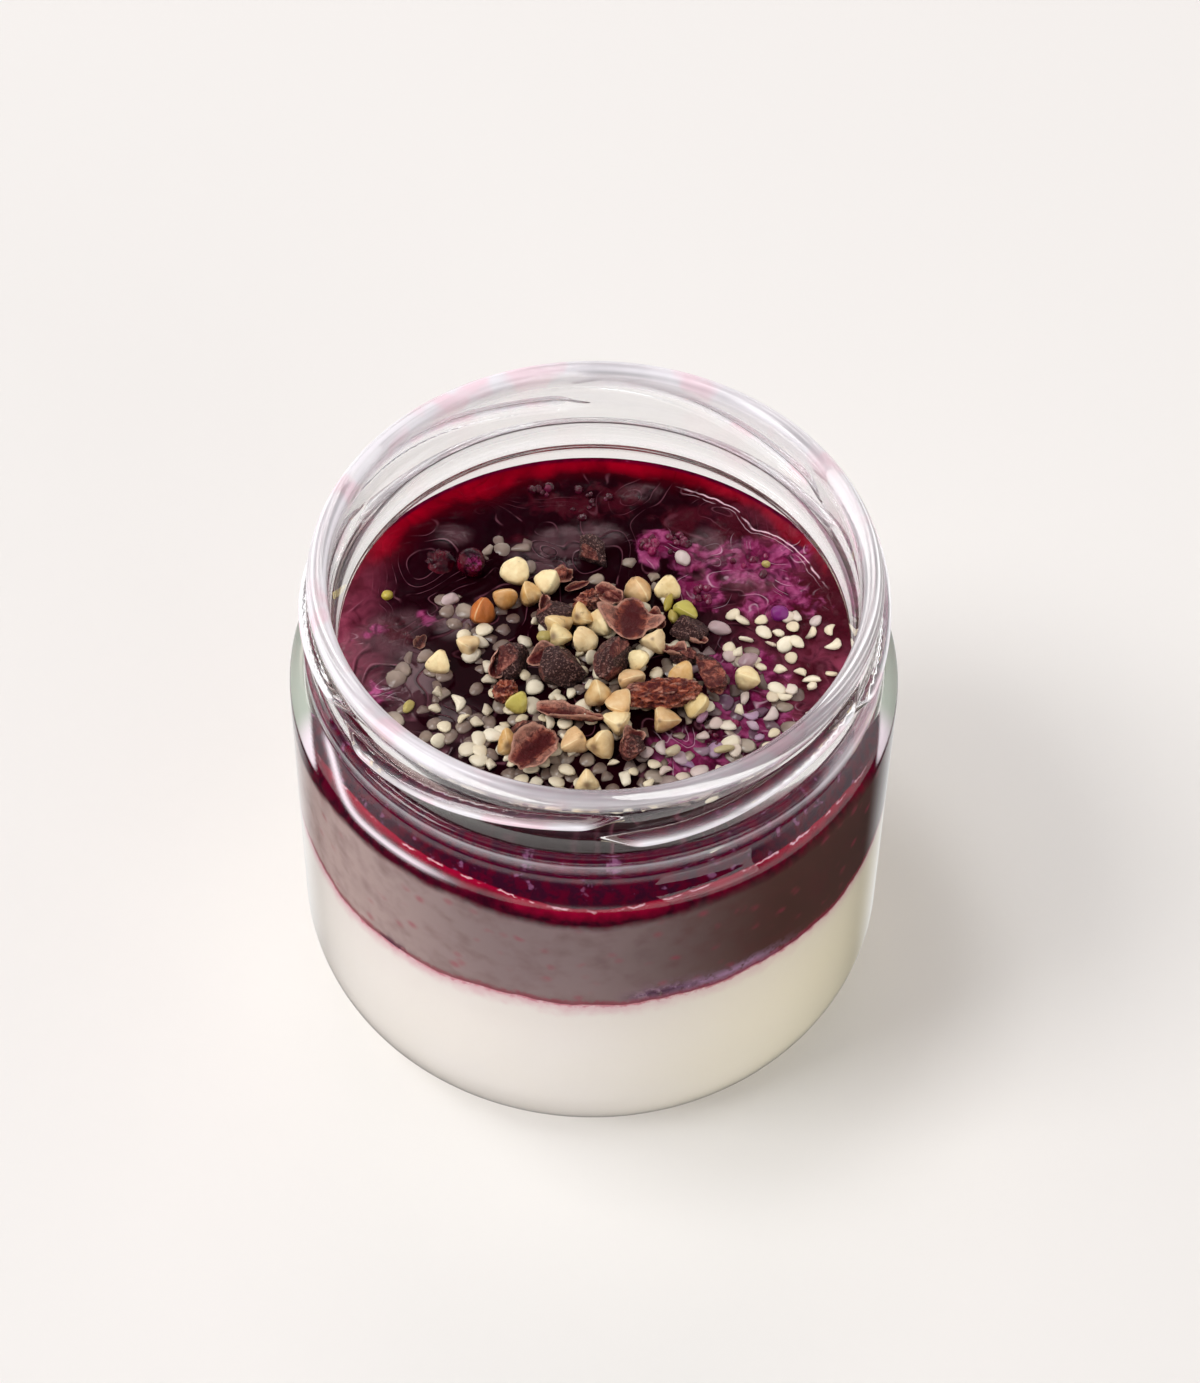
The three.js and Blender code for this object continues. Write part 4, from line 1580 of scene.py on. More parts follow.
@dataclass
class CacaoNibs:
    """Broken cacao: x, y, length, width, thickness, turn in degrees, lift, share of husk, kind."""

    levels: Levels
    pieces: tuple[tuple[Any, ...], ...] = (
        (-5.3, -1.3, 8, 7, 4.6, 150, 1.2, 0.12, NibKind.CHUNK),
        (-11.6, 0.4, 5.6, 5.2, 4.2, 60, 1.0, 0.15, NibKind.CHUNK),
        (-5.6, 9.6, 5.6, 4.4, 4.2, 115, 1.2, 0.15, NibKind.CHUNK),
        (-0.6, 21.6, 5.6, 3.8, 3.0, 140, 0.9, 0.1, NibKind.CHUNK),
        (-0.6, 12, 4.4, 3.0, 2.6, 20, 1.2, 0.7, NibKind.LUMP),
        (1.8, 12.9, 4.2, 3, 2, 165, 1.9, 0.8, NibKind.CHUNK),
        (13.2, 7, 5.6, 4.4, 3.6, 10, 1.1, 0.05, NibKind.CHUNK),
        (2.3, -0.3, 7.4, 4, 4.0, 70, 1.6, 0.4, NibKind.CHUNK),
        (12.4, 2.2, 3.4, 2.8, 2.4, 160, 1.0, 0.3, NibKind.CHUNK),
        (15.9, -0.4, 7.8, 3.4, 3.4, 112, 1.5, 0.55, NibKind.WEDGE),
        (9.2, -5.8, 9.6, 3.8, 3.0, 8, 1.9, 1.0, NibKind.LUMP),
        (-12.1, -4.6, 3.2, 3, 2.4, 40, 1.2, 1.0, NibKind.LUMP),
        (5.7, -14.2, 3.6, 3.4, 2.8, 80, 1.3, 0.5, NibKind.CHUNK),
        (-9.4, -10.4, 4.6, 2.6, 2, 15, 0.8, 0.5, NibKind.WEDGE),
        (-5, 17.7, 3.6, 2.2, 1.8, 60, 1.0, 0.8, NibKind.WEDGE),
    )
    cuts: int = 9
    rings: int = 52
    around: int = 72
    seed: int = 23

    def build(self) -> bpy.types.Object:
        """Make them all as one piece.

        Each is a unit ball. Flat cuts of random facing push in whatever stands beyond them, folded noise
        breaks and roughens it, and it is then sized, turned and placed. Red lumps have no cuts and
        stronger noise. One side of each keeps its husk.

        Returns:
            The new object.
        """
        numbers = np.array([piece[:8] for piece in self.pieces], float)
        x, y, length, width, thickness, turn, lift, husk = numbers.T
        kinds = np.array([piece[8].value for piece in self.pieces])
        rng = np.random.default_rng(self.seed)
        count = len(numbers)
        ball, _, _ = unit_ball(count, self.rings, self.around)
        lump = (kinds == NibKind.LUMP.value)[:, None, None]
        wedge = (kinds == NibKind.WEDGE.value)[:, None, None]
        shape, flat = ball.copy(), np.zeros(ball.shape[:3])
        for cut in range(self.cuts):
            facing = rng.normal(size=(count, 3))
            facing /= np.linalg.norm(facing, axis=1, keepdims=True)
            depth = 0.45 + 0.3 * rng.random(count) + 0.35 * lump[:, 0, 0]
            over = np.einsum("nraj,nj->nra", shape, facing) - depth[:, None, None]
            shape -= np.clip(over, 0, None)[..., None] * facing[:, None, None, :]
            flat = np.where(over > 0, float(cut % 4 == 0), flat)
        shape[..., 1:] *= 1 - np.where(wedge, 0.55, 0.0)[..., None] * (shape[..., :1] * 0.5 + 0.3)
        clouds = Clouds(self.seed)
        offset = 5.0 * np.arange(count)[:, None, None]
        px, py, pz = (shape[..., axis] * 2.2 for axis in range(3))
        coarse = np.abs(clouds.heap(px + offset, py, pz, 1.0, 2) - 0.5)
        fine = clouds.heap(3 * px + offset, 3 * py, 3 * pz, 1.0, 3) - 0.5
        amount = np.where(lump, 2.6, 1.0)
        size = 1.25 - amount * 0.5 * coarse + amount * 0.16 * fine
        shape *= size[..., None] * (np.stack([length, width, thickness], 1) / 2)[:, None, None, :]
        tilt = 0.5 * (rng.random((count, 2)) - 0.5)
        angles = np.column_stack([tilt, np.radians(turn)])
        spots = np.column_stack([x, y, self.levels.height(x, y) + lift])
        side = ball[..., 1] * 0.5 - ball[..., 0] * 0.3 + ball[..., 2] * 0.2
        share = husk[:, None, None] * 1.3 + flat * 0.6 + side * 0.5 - 0.55 + 0.8 * fine
        marks = {
            "husk": ease(share * 1.8),
            "red": np.where(lump, 1.0, 0.35 * wedge),
            # Raised points are painted lighter and hollows painted deeper red: painted highlight and shade.
            "edge": np.where(lump, 3.0, 1.2) * fine,
        }
        grid = placed(shape, angles, spots)
        skin = ring_skin(grid, risen=risen(self.levels, grid, 0.8), **marks)
        return skin.made("cacao_nibs", CacaoNib().material(), slot="compote")


@dataclass
class HuskFlakes:
    """Curled shells of cacao husk.

    Each is x, y, length, width, turn in degrees, lift, cup, corners, lean about its length and its width,
    and redness.
    """

    levels: Levels
    pieces: tuple[tuple[float, ...], ...] = (
        (5.0, 7.6, 7.8, 8.2, 82, 2.9, 1.3, 4, 0.1, 0.15, 0.75),
        (-8.0, -14.6, 8.4, 5.6, 48, 2.5, 1.5, 2, 0.15, 0.0, 0.35),
        (-3.0, -9.2, 9.4, 3.6, -8, 2.0, 1.4, 2, -0.5, 0.0, 0.3),
        (-13.7, 0.4, 5.6, 2.8, 78, 1.9, 1.3, 2, 0.9, 0.2, 0.3),
        (-7.0, 0.3, 4.8, 3.2, 18, 3.2, 0.8, 3, 0.3, -0.2, 0.3),
        (11.0, 2.6, 3.8, 3.2, 150, 2.0, 0.9, 3, 0.4, 0.3, 0.35),
        (-4.8, 17.0, 3.6, 2.4, 20, 1.3, 0.7, 2, 0.3, 0.2, 0.5),
        (-2.6, 15.3, 3.4, 1.3, 28, 1.0, 0.5, 2, 0.2, 0.0, 0.6),
        (1.9, 12.3, 4.0, 3.2, -20, 2.8, 0.7, 3, 0.2, 0.2, 0.15),
        (5.3, -13.2, 3.6, 3.2, 60, 2.3, 0.9, 3, 0.5, 0.0, 0.2),
        (8.5, 8.8, 3.4, 2.6, -50, 1.8, 0.8, 3, 0.4, 0.3, 0.7),
        (9.6, -4.8, 4.8, 1.6, 5, 2.9, 0.6, 2, 0.3, 0.0, 0.0),
        (-24.4, 5.3, 2.6, 1.8, 70, 0.2, 0.3, 3, 0.1, 0.0, 0.8),
        (14.4, 4.9, 3.0, 1.6, 160, 1.8, 0.6, 2, 0.5, 0.2, 0.3),
        (-7.4, 11.2, 3.2, 1.4, 80, 2.2, 0.6, 2, 0.6, 0.1, 0.5),
    )
    thickness: float = 0.42
    rings: int = 30
    around: int = 72
    seed: int = 67

    def build(self) -> bpy.types.Object:
        """Make them all as one piece.

        A flake is a sheet with rings out to its rim on top and back underneath. Its rim is 1 plus a
        cosine for its corners plus ragged noise. It rises as the square of the way out, more across its
        width than along it, is creased by noise, and is thin at the rim.

        Returns:
            The new object.
        """
        numbers = np.array(self.pieces, float)
        x, y, length, width, turn, lift, cup, corners, lean_x, lean_y, red = numbers.T
        count = len(numbers)
        phase = np.linspace(0, 2, self.rings)[None, :, None]
        out = np.minimum(phase, 2 - phase)
        under = phase > 1
        angle = np.linspace(0, 2 * np.pi, self.around, endpoint=False)[None, None, :]
        out, under, angle = np.broadcast_arrays(out, under, angle, np.zeros((count, 1, 1)))[:3]
        clouds = Clouds(self.seed)
        offset = 5.0 * np.arange(count)[:, None, None]
        cx, cy = np.cos(angle), np.sin(angle)
        ragged = clouds.heap(cx * 2.2 + offset, cy * 2.2, 3.0, 1.0, 4) - 0.5
        points = 1.6 * np.abs(np.cos(corners[:, None, None] * angle / 2 + offset)) ** 2.5 - 0.6
        rim = 1 + (0.02 + 0.05 * corners[:, None, None]) * points + 0.45 * ragged
        u, v = out * rim * cx, out * rim * cy
        crease = np.abs(clouds.heap(u * 1.3 + offset, v * 2.6, 8.0, 1.0, 3) - 0.5)
        rise = cup[:, None, None] * (0.25 * u**2 + 0.9 * v**2 - 1.0 * crease + 0.25 * points * out**2)
        thick = self.thickness * (1 - 0.55 * out**3)
        z = rise - np.where(under, thick, 0.0) * np.sqrt(np.clip(1 - out**6, 0, 1))
        px, py = u * length[:, None, None] / 2, v * width[:, None, None] / 2
        shape = np.stack([px, py, z], axis=-1)
        angles = np.column_stack([lean_x, lean_y, np.radians(turn)])
        spots = np.column_stack([x, y, self.levels.height(x, y) + lift - cup * 0.5])
        # Pale at the rim, partly a painted highlight, and dark along the groove in the middle of the top,
        # which is painted shade.
        groove = np.exp(-((v / 0.34) ** 2)) * (1 - out**2)
        rim_highlight_and_groove_shade = ease((out - 0.8) / 0.16) + 0.45 * ease((np.abs(v) - 0.35) / 0.3) - 1.5 * groove * ~under
        marks = {"husk": 1 + 0 * out, "red": red[:, None, None], "edge": rim_highlight_and_groove_shade}
        grid = placed(shape, angles, spots)
        skin = ring_skin(grid, risen=risen(self.levels, grid), **marks)
        return skin.made("cacao_husk_flakes", CacaoNib().material(), slot="compote")


@dataclass
class Groats:
    """Hulled buckwheat: x, y, lift, and how orange and how green each one is."""

    levels: Levels
    pieces: tuple[tuple[float, ...], ...] = (
        (-11.3, 18, 0.9, 0, 0), (-12.9, 12.9, 1.0, 0.4, 0), (-16, 10.4, 0.9, 1, 0), (-9.4, 13.6, 1.1, 0.1, 0),
        (-6.6, 15, 1.7, 0, 0), (-17.9, 4.2, 0.9, 0.2, 0), (-21.6, 1.1, 0.9, 0, 0), (-1.8, 8.8, 1.7, 0, 0),
        (1, 8, 1.3, 0, 0), (-4.7, 5, 1.6, 0, 0.15), (-1.5, 4.3, 1.3, 0.1, 0), (6, 14.4, 1.3, 0.3, 0),
        (10.3, 15, 1.2, 0, 0.1), (12.5, 10.6, 1.2, 0.1, 1), (8.3, 4, 1.8, 0.2, 0), (6.2, 0, 1.6, 0, 0.1),
        (12.3, -1.9, 1.6, 0.1, 0), (21.2, -1.2, 1.3, 0, 0.05), (-10.4, -6.5, 1.3, 0, 0.9),
        (0.6, -5.8, 1.8, 0.1, 0), (3.7, -7.8, 1.6, 0.3, 0), (3.4, -10.6, 1.6, 0, 0), (5, -3.3, 1.3, 0.4, 0),
        (14.2, -6.8, 1.2, 0, 0.2), (-2.4, -13.4, 1.5, 0.4, 0), (1.4, -13.6, 1.4, 0.1, 0),
        (-11.5, -13, 1.1, 0.1, 0), (-0.7, -19.3, 1.1, 0.1, 0), (9.8, -9.4, 1.1, 0.3, 0),
        (-5.4, 7.4, 1.4, 0, 0),
    )
    width: float = 1.46
    facets: float = 2.4
    rings: int = 48
    around: int = 72
    seed: int = 31

    def shape(self, count: int) -> tuple[Array, Array, Array]:
        """A plump grain with three rounded sides that narrows to a point, its ridges and its brown ends.

        Its cross section is a triangle rounded by a power: the sum, over three sides, of the cosine of
        the turn from each side's middle, raised to a power, and that sum to the power of -1 over it. It
        is rounder towards both ends. A ridge is a corner of the triangle.

        Args:
            count: how many grains.

        Returns:
            The points, and two numbers for each.
        """
        _, tilt, turn = unit_ball(count, self.rings, self.around)
        thirds = 2 * np.pi * np.arange(3) / 3
        parts = np.clip(np.cos(turn[..., None] - thirds), 0, None)
        corner = (parts**self.facets).sum(axis=-1) ** (-1 / self.facets)
        ranked = np.sort(parts, axis=-1)
        ridge = ease((ranked[..., 1] / ranked[..., 2] - 0.72) / 0.28)
        level = np.sin(tilt)
        across = level**0.85 * (1 - 0.3 * np.cos(tilt)) * (1 + (corner / 1.12 - 1) * level)
        across = across * (1 + 0.05 * ridge**3 * level)
        shape = np.stack([across * np.cos(turn), across * np.sin(turn), 1.12 * np.cos(tilt)], axis=-1)
        ends = np.exp(-(((np.pi - tilt) / 0.3) ** 2)) + 0.8 * np.exp(-((tilt / 0.22) ** 2))
        return shape, ridge * ease(level * 2), ends

    def build(self) -> bpy.types.Object:
        """Make them all as one piece, each a little uneven by noise and turned its own way.

        Returns:
            The new object.
        """
        numbers = np.array(self.pieces, float)
        x, y, lift, orange, green = numbers.T
        count = len(numbers)
        rng = np.random.default_rng(self.seed)
        shape, ridge, scar = self.shape(count)
        clouds = Clouds(self.seed)
        offset = 5.0 * np.arange(count)[:, None, None]
        px, py, pz = (shape[..., axis] * 1.1 for axis in range(3))
        rough = clouds.heap(px + offset, py, pz, 1.0, 3) - 0.5
        shape = shape * (1 + 0.3 * rough)[..., None]
        grade = self.width * (0.88 + 0.24 * rng.random(count))
        slim = 0.88 + 0.2 * rng.random(count)
        tall = 1.0 + 0.22 * rng.random(count)
        sizes = grade[:, None] * np.column_stack([slim, np.ones(count), tall])
        angles = np.column_stack([
            np.pi * (0.15 + 0.6 * rng.random(count)),
            0.9 * (rng.random(count) - 0.5),
            2 * np.pi * rng.random(count),
        ])
        spots = np.column_stack([x, y, self.levels.height(x, y) + lift])
        marks = {
            "tone": np.broadcast_to(rng.random(count)[:, None, None], ridge.shape),
            "ridge": ridge, "scar": scar,
            "orange": orange[:, None, None], "green": green[:, None, None],
        }
        grid = placed(shape * sizes[:, None, None, :], angles, spots)
        skin = ring_skin(grid, risen=risen(self.levels, grid, 0.75), **marks)
        return skin.made("buckwheat_groats", Buckwheat().material(), slot="compote")


@dataclass
class HempHearts:
    """Hulled hemp seeds, thick in some patches: x, y, spread, share."""

    levels: Levels
    patches: tuple[tuple[float, ...], ...] = (
        (-16, -13, 6, 0.9), (-6, -19, 6, 0.9), (6, -19, 6, 0.9), (20, -10, 5.5, 1.0), (26, -2, 5, 0.9),
        (23, 8, 3.8, 0.9), (4, 3, 8, 0.75), (-14, 4, 5, 0.6), (-4, -8, 8, 0.85), (14, -18, 4, 0.9),
        (28, 4, 4, 0.95), (22, 2, 4, 0.9), (-10, 4.5, 3.5, 0.85), (-20, -6.5, 3, 0.8),
    )
    sunk_patches: tuple[tuple[float, ...], ...] = (
        (-13.5, 22.5, 3, 0.9), (-20, 12, 3, 0.8), (-12, 7, 7, 0.85), (-22, -4, 6, 0.75), (-16, -12, 7, 0.9),
        (-4, -16, 9, 0.9), (12, -18, 6, 0.9), (18, -4, 7, 0.9), (0, 0, 10, 0.8), (4, 17, 4, 0.5),
    )
    dry_spacing: float = 2.45
    sunk_spacing: float = 2.25
    reach: float = 36.0
    front_reach: float = -24.0
    size: tuple[float, float, float] = (1.34, 1.1, 0.36)
    rings: int = 5
    around: int = 12
    seed: int = 53

    def net(self, rng: np.random.Generator, spacing: float, patches: Sequence[Sequence[float]]) -> Array:
        """A jittered net of three-cornered cells, kept where a draw is under the patches' share.

        Args:
            rng: where the draws come from.
            spacing: the distance between cells.
            patches: where the hearts lie thick.

        Returns:
            One row of x and y for each heart.
        """
        steps = np.arange(-self.reach, self.reach, spacing)
        x, y = np.meshgrid(steps, steps)
        x = x + spacing / 2 * (np.arange(len(steps)) % 2)[:, None]
        x, y = (part.ravel() + spacing * 0.8 * (rng.random(part.size) - 0.5) for part in (x, y))
        thick = np.zeros(x.shape)
        for cx, cy, spread, strength in patches:
            thick = np.maximum(thick, strength * bump(x, y, cx, cy, spread, spread))
        near = (np.hypot(x, y) < self.reach) & (y > self.front_reach)
        return np.column_stack([x, y])[near & (thick > 0.15 + 0.75 * rng.random(x.size))]

    def build(self) -> bpy.types.Object:
        """Make them all as one piece.

        Each is a flat disc with a round rim: across, the sine of the tilt to the power 0.6, and up, its
        cosine. Some are bent along a parabola, some are cut off flat, and those that lie deep are wetter.

        Returns:
            The new object.
        """
        rng = np.random.default_rng(self.seed)
        dry = self.net(rng, self.dry_spacing, self.patches)
        sunk = self.net(rng, self.sunk_spacing, self.sunk_patches)
        xy = np.concatenate([dry, sunk])
        deep = np.concatenate([np.zeros(len(dry)), np.ones(len(sunk))])
        count = len(xy)
        _, tilt, turn = unit_ball(count, self.rings, self.around)
        draw = rng.random((9, count))
        across = np.sin(tilt) ** 0.55
        shape = np.stack([across * np.cos(turn), across * np.sin(turn), np.cos(tilt)], axis=-1)
        shape[..., 1] *= 1 + 0.22 * shape[..., 0]
        curled = (draw[0] > 0.84)[:, None, None]
        bow = np.where(curled, 0.6, 0.0) * shape[..., 0] ** 2
        shape[..., 1] = shape[..., 1] * np.where(curled, 0.6, 1.0) + bow
        for cut in range(3):
            chipped = (draw[1] > 0.62)[:, None, None]
            facing = 2 * np.pi * (draw[2 + cut] * 0.3 + cut / 3)[:, None, None]
            over = shape[..., 0] * np.cos(facing) + shape[..., 1] * np.sin(facing) - 0.55
            push = np.where(chipped & (over > 0), over, 0)
            shape[..., 0] -= push * np.cos(facing)
            shape[..., 1] -= push * np.sin(facing)
        clouds = Clouds(self.seed)
        offset = 5.0 * np.arange(count)[:, None, None]
        rough = clouds.at(shape[..., 0] * 1.3 + offset, shape[..., 1] * 1.3, shape[..., 2]) - 0.5
        shape *= (1 + 0.2 * rough)[..., None]
        grade = 0.72 + 0.42 * draw[5] + 0.1 * deep
        form = np.column_stack([1 + 0 * deep, 0.84 + 0.3 * draw[6], 1 - 0.3 * deep])
        sizes = grade[:, None] * np.array(self.size) * form
        steep = np.where((draw[7] > 0.8) & (deep == 0), 1.6, 0.5) * (1 - 0.6 * deep)
        angles = np.column_stack([steep * (draw[3] - 0.5), steep * (draw[4] - 0.5), 2 * np.pi * draw[8]])
        x, y = xy.T
        lift = np.where(deep > 0, 0.3 * (draw[7] - 0.6), 0.5)
        spots = np.column_stack([x, y, self.levels.height(x, y) + self.levels.relief(x, y) + lift])
        violet = self.levels.pulp(x, y) * (x > 5)
        stain = np.clip(violet * 2.0 * draw[6] ** 2 - 0.15, 0, 0.8)
        left = ease((2 - x) / 20)
        wet = np.clip(0.75 * deep + 0.45 * left * draw[1] + 0.15 * (1 - deep) * draw[2], 0, 0.95)
        marks = {"tone": draw[5][:, None, None], "wet": wet[:, None, None], "stain": stain[:, None, None]}
        grid = placed(shape * sizes[:, None, None, :], angles, spots)
        skin = ring_skin(grid, risen=risen(self.levels, grid), **marks)
        LOG.info("%d hemp hearts", count)
        return skin.made("hemp_hearts", HempHeart().material(), slot="compote")


@dataclass
class Pulp:
    """Torn fruit that stands out of the syrup, in clusters of beads: x, y, spread, beads, tone."""

    levels: Levels
    clusters: tuple[tuple[float, ...], ...] = (
        (7.9, 23.6, 1.2, 16, 0.7), (11.6, 23.8, 1.6, 10, 0.2), (-1, 31.5, 2.6, 10, 0.0),
        (15, 15, 1.6, 8, 0.5),
        (-8, 33.5, 1.6, 6, 0.0), (23, 21, 2.6, 6, 0.4), (17.5, -11.5, 2.0, 6, 0.5),
    )
    bead: float = 0.62
    seed: int = 71

    def build(self) -> bpy.types.Object:
        """Make all the beads as one piece: small lumpy balls scattered about each cluster's middle.

        Returns:
            The new object.
        """
        rng = np.random.default_rng(self.seed)
        rows = np.repeat(np.array(self.clusters, float), [int(row[3]) for row in self.clusters], axis=0)
        x = rows[:, 0] + rows[:, 2] * rng.normal(size=len(rows)) * 0.7
        y = rows[:, 1] + rows[:, 2] * rng.normal(size=len(rows)) * 0.7
        tone = np.clip(rows[:, 4] + 0.25 * rng.normal(size=len(rows)), 0, 1)
        ball, _, _ = unit_ball(len(rows), 11, 16)
        offset = 5.0 * np.arange(len(rows))[:, None, None]
        coarse = ball * 1.6
        rough = Clouds(self.seed).at(coarse[..., 0] + offset, coarse[..., 1], coarse[..., 2]) - 0.5
        sizes = self.bead * (0.6 + 0.8 * rng.random((len(rows), 1))) * [1.1, 0.9, 0.8]
        shape = ball * (1 + 0.4 * rough)[..., None] * sizes[:, None, None, :]
        angles = np.pi * rng.random((len(rows), 3))
        spots = np.column_stack([x, y, self.levels.height(x, y) + self.levels.relief(x, y) + 0.05])
        skin = ring_skin(placed(shape, angles, spots), tone=tone[:, None, None])
        return skin.made("fruit_pulp", FruitPulp().material(), slot="compote")


@dataclass
class TinySeeds:
    """Tiny seeds and fruit beads: x, y, length, width, turn in degrees, lift, violet, pale."""

    levels: Levels
    pieces: tuple[tuple[float, ...], ...] = (
        (24.2, 20.5, 1.2, 1.1, 0, 0.3, 0.0, 0.1), (-29.4, 13.4, 1.7, 1.5, 20, 0.4, 0.0, 0.0),
        (10.3, 11.9, 3.0, 1.3, 75, 1.6, 0.0, 0.0), (10.9, 9.0, 2.4, 1.3, 100, 1.8, 0.0, 0.05),
        (11.0, -14.4, 2.2, 1.5, 30, 1.6, 0.0, 0.45), (18.0, -13.4, 3.2, 1.1, 15, 1.2, 0.0, 0.3),
        (-6.9, 4.7, 2.2, 2.0, 0, 1.8, 0.0, 0.1), (26.0, 11.1, 2.7, 2.4, 10, 0.7, 1.0, 0.0),
        (31.1, 10.0, 2.0, 1.4, 50, 0.4, 0.5, 0.7), (12.3, 21.1, 2.6, 2.0, 120, 0.6, 0.5, 0.75),
        (-25.5, -6.5, 2.2, 1.3, 60, 0.4, 0.0, 0.1), (21.5, 2.4, 3.0, 2.2, 40, 0.5, 0.75, 0.3),
        (17.5, 8.4, 3.4, 1.9, 160, 0.4, 0.7, 0.4), (-20.5, 13.0, 2.6, 1.8, 30, 0.2, 0.7, 0.5),
        (13.4, -4.8, 2.4, 1.4, 120, 1.0, 0.85, 0.25), (15.0, -8.2, 2.4, 1.2, 60, 0.9, 0.9, 0.2),
    )
    rings: int = 13
    around: int = 20
    seed: int = 83

    def build(self) -> bpy.types.Object:
        """Make them all as one piece: balls stretched along their turn, bent a little by noise.

        Returns:
            The new object.
        """
        numbers = np.array(self.pieces, float)
        x, y, length, width, turn, lift, violet, pale = numbers.T
        ball, _, _ = unit_ball(len(numbers), self.rings, self.around)
        offset = 5.0 * np.arange(len(numbers))[:, None, None]
        coarse = ball * 1.4
        rough = Clouds(self.seed).at(coarse[..., 0] + offset, coarse[..., 1], coarse[..., 2]) - 0.5
        sizes = np.stack([length, width, 0.85 * width], axis=1) / 2
        shape = ball * (1 + 0.35 * rough)[..., None] * sizes[:, None, None, :]
        angles = np.column_stack([0 * turn, 0 * turn, np.radians(turn)])
        spots = np.column_stack([x, y, self.levels.height(x, y) + self.levels.relief(x, y) + lift])
        marks = {"violet": violet[:, None, None], "pale": pale[:, None, None]}
        skin = ring_skin(placed(shape, angles, spots), **marks)
        return skin.made("tiny_seeds", TinySeed().material(), slot="compote")


# The stage


@dataclass(frozen=True)
class SoftLight:
    """One soft panel of light that faces a point over the jar."""

    name: str
    spot: tuple[float, float, float]
    size: tuple[float, float]
    power: float
    colour: Colour = (1.0, 1.0, 1.0)
    target: tuple[float, float, float] = (0.0, 0.0, 0.05)

    def build(self) -> bpy.types.Object:
        """Make the light.

        Returns:
            The new object.
        """
        data = bpy.data.lights.new(self.name, "AREA")
        data.shape = "RECTANGLE"
        data.size, data.size_y = self.size
        data.energy = self.power
        data.color = self.colour
        lamp = bpy.data.objects.new(self.name, data)
        lamp.location = self.spot
        lamp.rotation_euler = (Vector(self.target) - Vector(self.spot)).to_track_quat("-Z", "Y").to_euler()
        bpy.context.collection.objects.link(lamp)
        return lamp


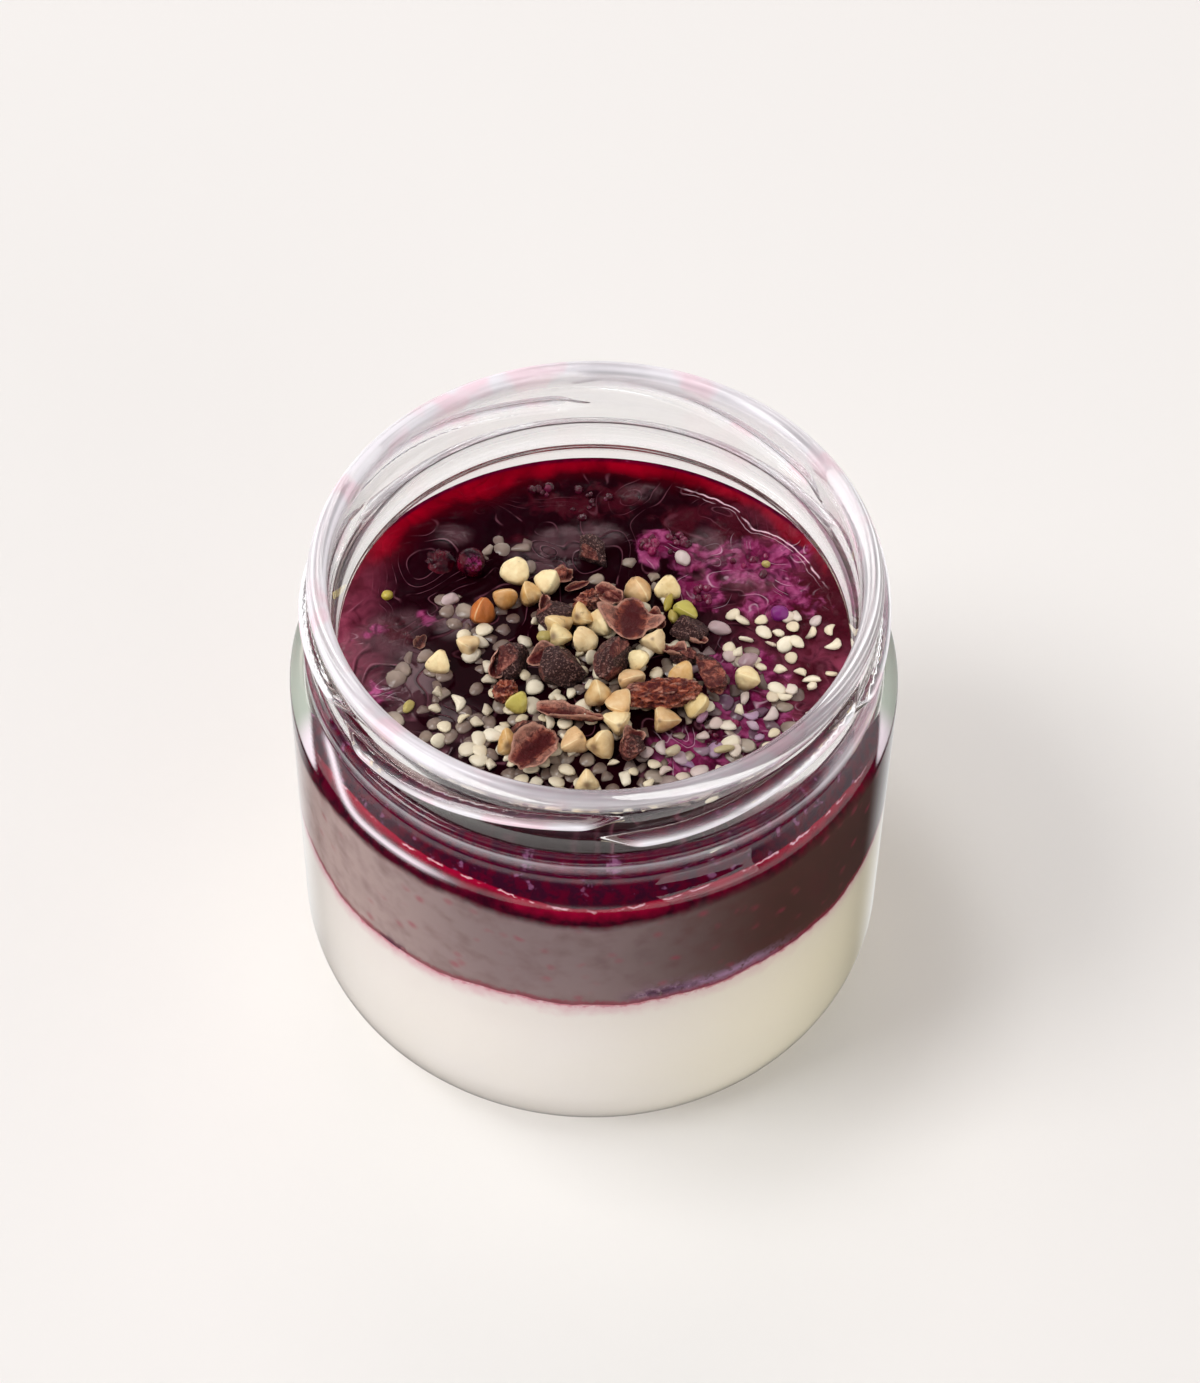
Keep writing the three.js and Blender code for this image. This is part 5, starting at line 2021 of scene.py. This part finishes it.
@dataclass
class Studio:
    """A pale floor, a pale room that is dark higher up, soft panels of light and the photograph's camera."""

    floor: Colour = paint(247, 244, 241)
    floor_reach: float = 9.0
    sky: Colour = (1.0, 0.995, 0.99)
    horizon: float = 1.6
    zenith: float = 0.74
    back_wall: float = 0.97
    front_wall: float = 0.95
    right_wall: float = 0.1
    floor_shade: float = 0.98
    far_floor: float = 0.5
    lights: tuple[SoftLight, ...] = (
        SoftLight("left_window", (-2.6, -0.7, 2.9), (1.5, 1.5), 53),
        SoftLight("high_panel", (-1.3, 0.6, 3.9), (1.0, 1.0), 31),
        SoftLight("front_fill", (2.2, -2.8, 1.3), (2.0, 1.6), 19),
        SoftLight("back_panel", (0.0, 0.86, 1.05), (0.56, 0.2), 1.4, (1.0, 0.8, 0.82)),
    )
    aim: tuple[float, float, float] = (0.00088, 0.0, 0.0528)
    distance: float = 0.51806
    elevation: float = 52.05
    roll: float = 1.025
    lens: float = 96.37

    def build_floor(self) -> None:
        """Lay a matt floor just under the jar's foot."""
        mesh = bpy.data.meshes.new("floor")
        reach = self.floor_reach
        corners = [(-reach, -reach, 0), (reach, -reach, 0), (reach, reach, 0), (-reach, reach, 0)]
        mesh.from_pydata([(x, y, -0.0002) for x, y, _ in corners], [], [(0, 1, 2, 3)])
        shader = Shader("pale_floor")
        colour = shader.mix(self.floor, self.floor, 0.5)
        mesh.materials.append(shader.surface(Base_Color=colour, Roughness=0.7, Specular_IOR_Level=0.2))
        floor = bpy.data.objects.new("floor", mesh)
        bpy.context.collection.objects.link(floor)
        floor.visible_glossy = False

    def build_sky(self) -> None:
        """Fill the room with light.

        It falls by a smooth step of the height from the horizon to overhead. It is darker on the right,
        dark high up behind the jar and in front of it, and dark low down, where the glass would otherwise
        mirror the floor.
        """
        world = bpy.data.worlds.new("room")
        world.use_nodes = True
        room = Nodes(world.node_tree, "Generated")
        across, along, up = (room.part(letter) for letter in "XYZ")
        light = up.step(0.1, 0.7) * (self.zenith - self.horizon) + self.horizon
        behind = up.step(0.3, 0.55) * along.step(0.1, 0.45)
        before = up.step(0.12, 0.4) * (1 - along.step(-0.6, -0.2))
        below = (1 - up.step(-0.2, -0.05)) * (1 - along.step(0.4, 0.58) * self.far_floor)
        light = light * (1 - behind * self.back_wall) * (1 - before * self.front_wall)
        light = light * (1 - across.step(-0.1, 0.6) * self.right_wall) * (1 - below * self.floor_shade)
        glow = room.node("ShaderNodeBackground", None, {"Color": self.sky, "Strength": light})
        room.node("ShaderNodeOutputWorld", None, {"Surface": glow.outputs[0]})
        bpy.context.scene.world = world

    def build_camera(self) -> None:
        """Put the camera on its line of sight over the aim, and roll it about that line."""
        lean, roll = np.radians(self.elevation), np.radians(self.roll)
        back = Vector((0, -np.cos(lean), np.sin(lean)))
        right = Vector((1, 0, 0))
        up = right.cross(-back)
        rolled_right = np.cos(roll) * right + np.sin(roll) * up
        rolled_up = -np.sin(roll) * right + np.cos(roll) * up
        turn = Matrix((rolled_right, rolled_up, back)).transposed().to_4x4()
        data = bpy.data.cameras.new("camera")
        data.sensor_fit = "AUTO"
        data.sensor_width = 36
        data.lens = self.lens
        data.clip_start = 0.01
        camera = bpy.data.objects.new("camera", data)
        camera.matrix_world = Matrix.Translation(Vector(self.aim) + back * self.distance) @ turn
        bpy.context.collection.objects.link(camera)
        bpy.context.scene.camera = camera

    def build(self) -> None:
        """Set the whole stage."""
        self.build_floor()
        self.build_sky()
        self.build_camera()
        for light in self.lights:
            light.build()
        bpy.context.scene.view_settings.view_transform = "Standard"


def main() -> None:
    """Build the stage, the jar and what is in it, in order."""
    logging.basicConfig(level=logging.INFO, format="%(name)s: %(message)s")
    Studio().build()
    levels = Levels()
    jar = GlassJar()
    jar.build()
    Yogurt(levels).build()
    Compote(levels, jar).build()
    Berries(levels).build()
    CacaoNibs(levels).build()
    HuskFlakes(levels).build()
    Groats(levels).build()
    HempHearts(levels).build()
    Pulp(levels).build()
    TinySeeds(levels).build()


if __name__ == "__main__":
    main()
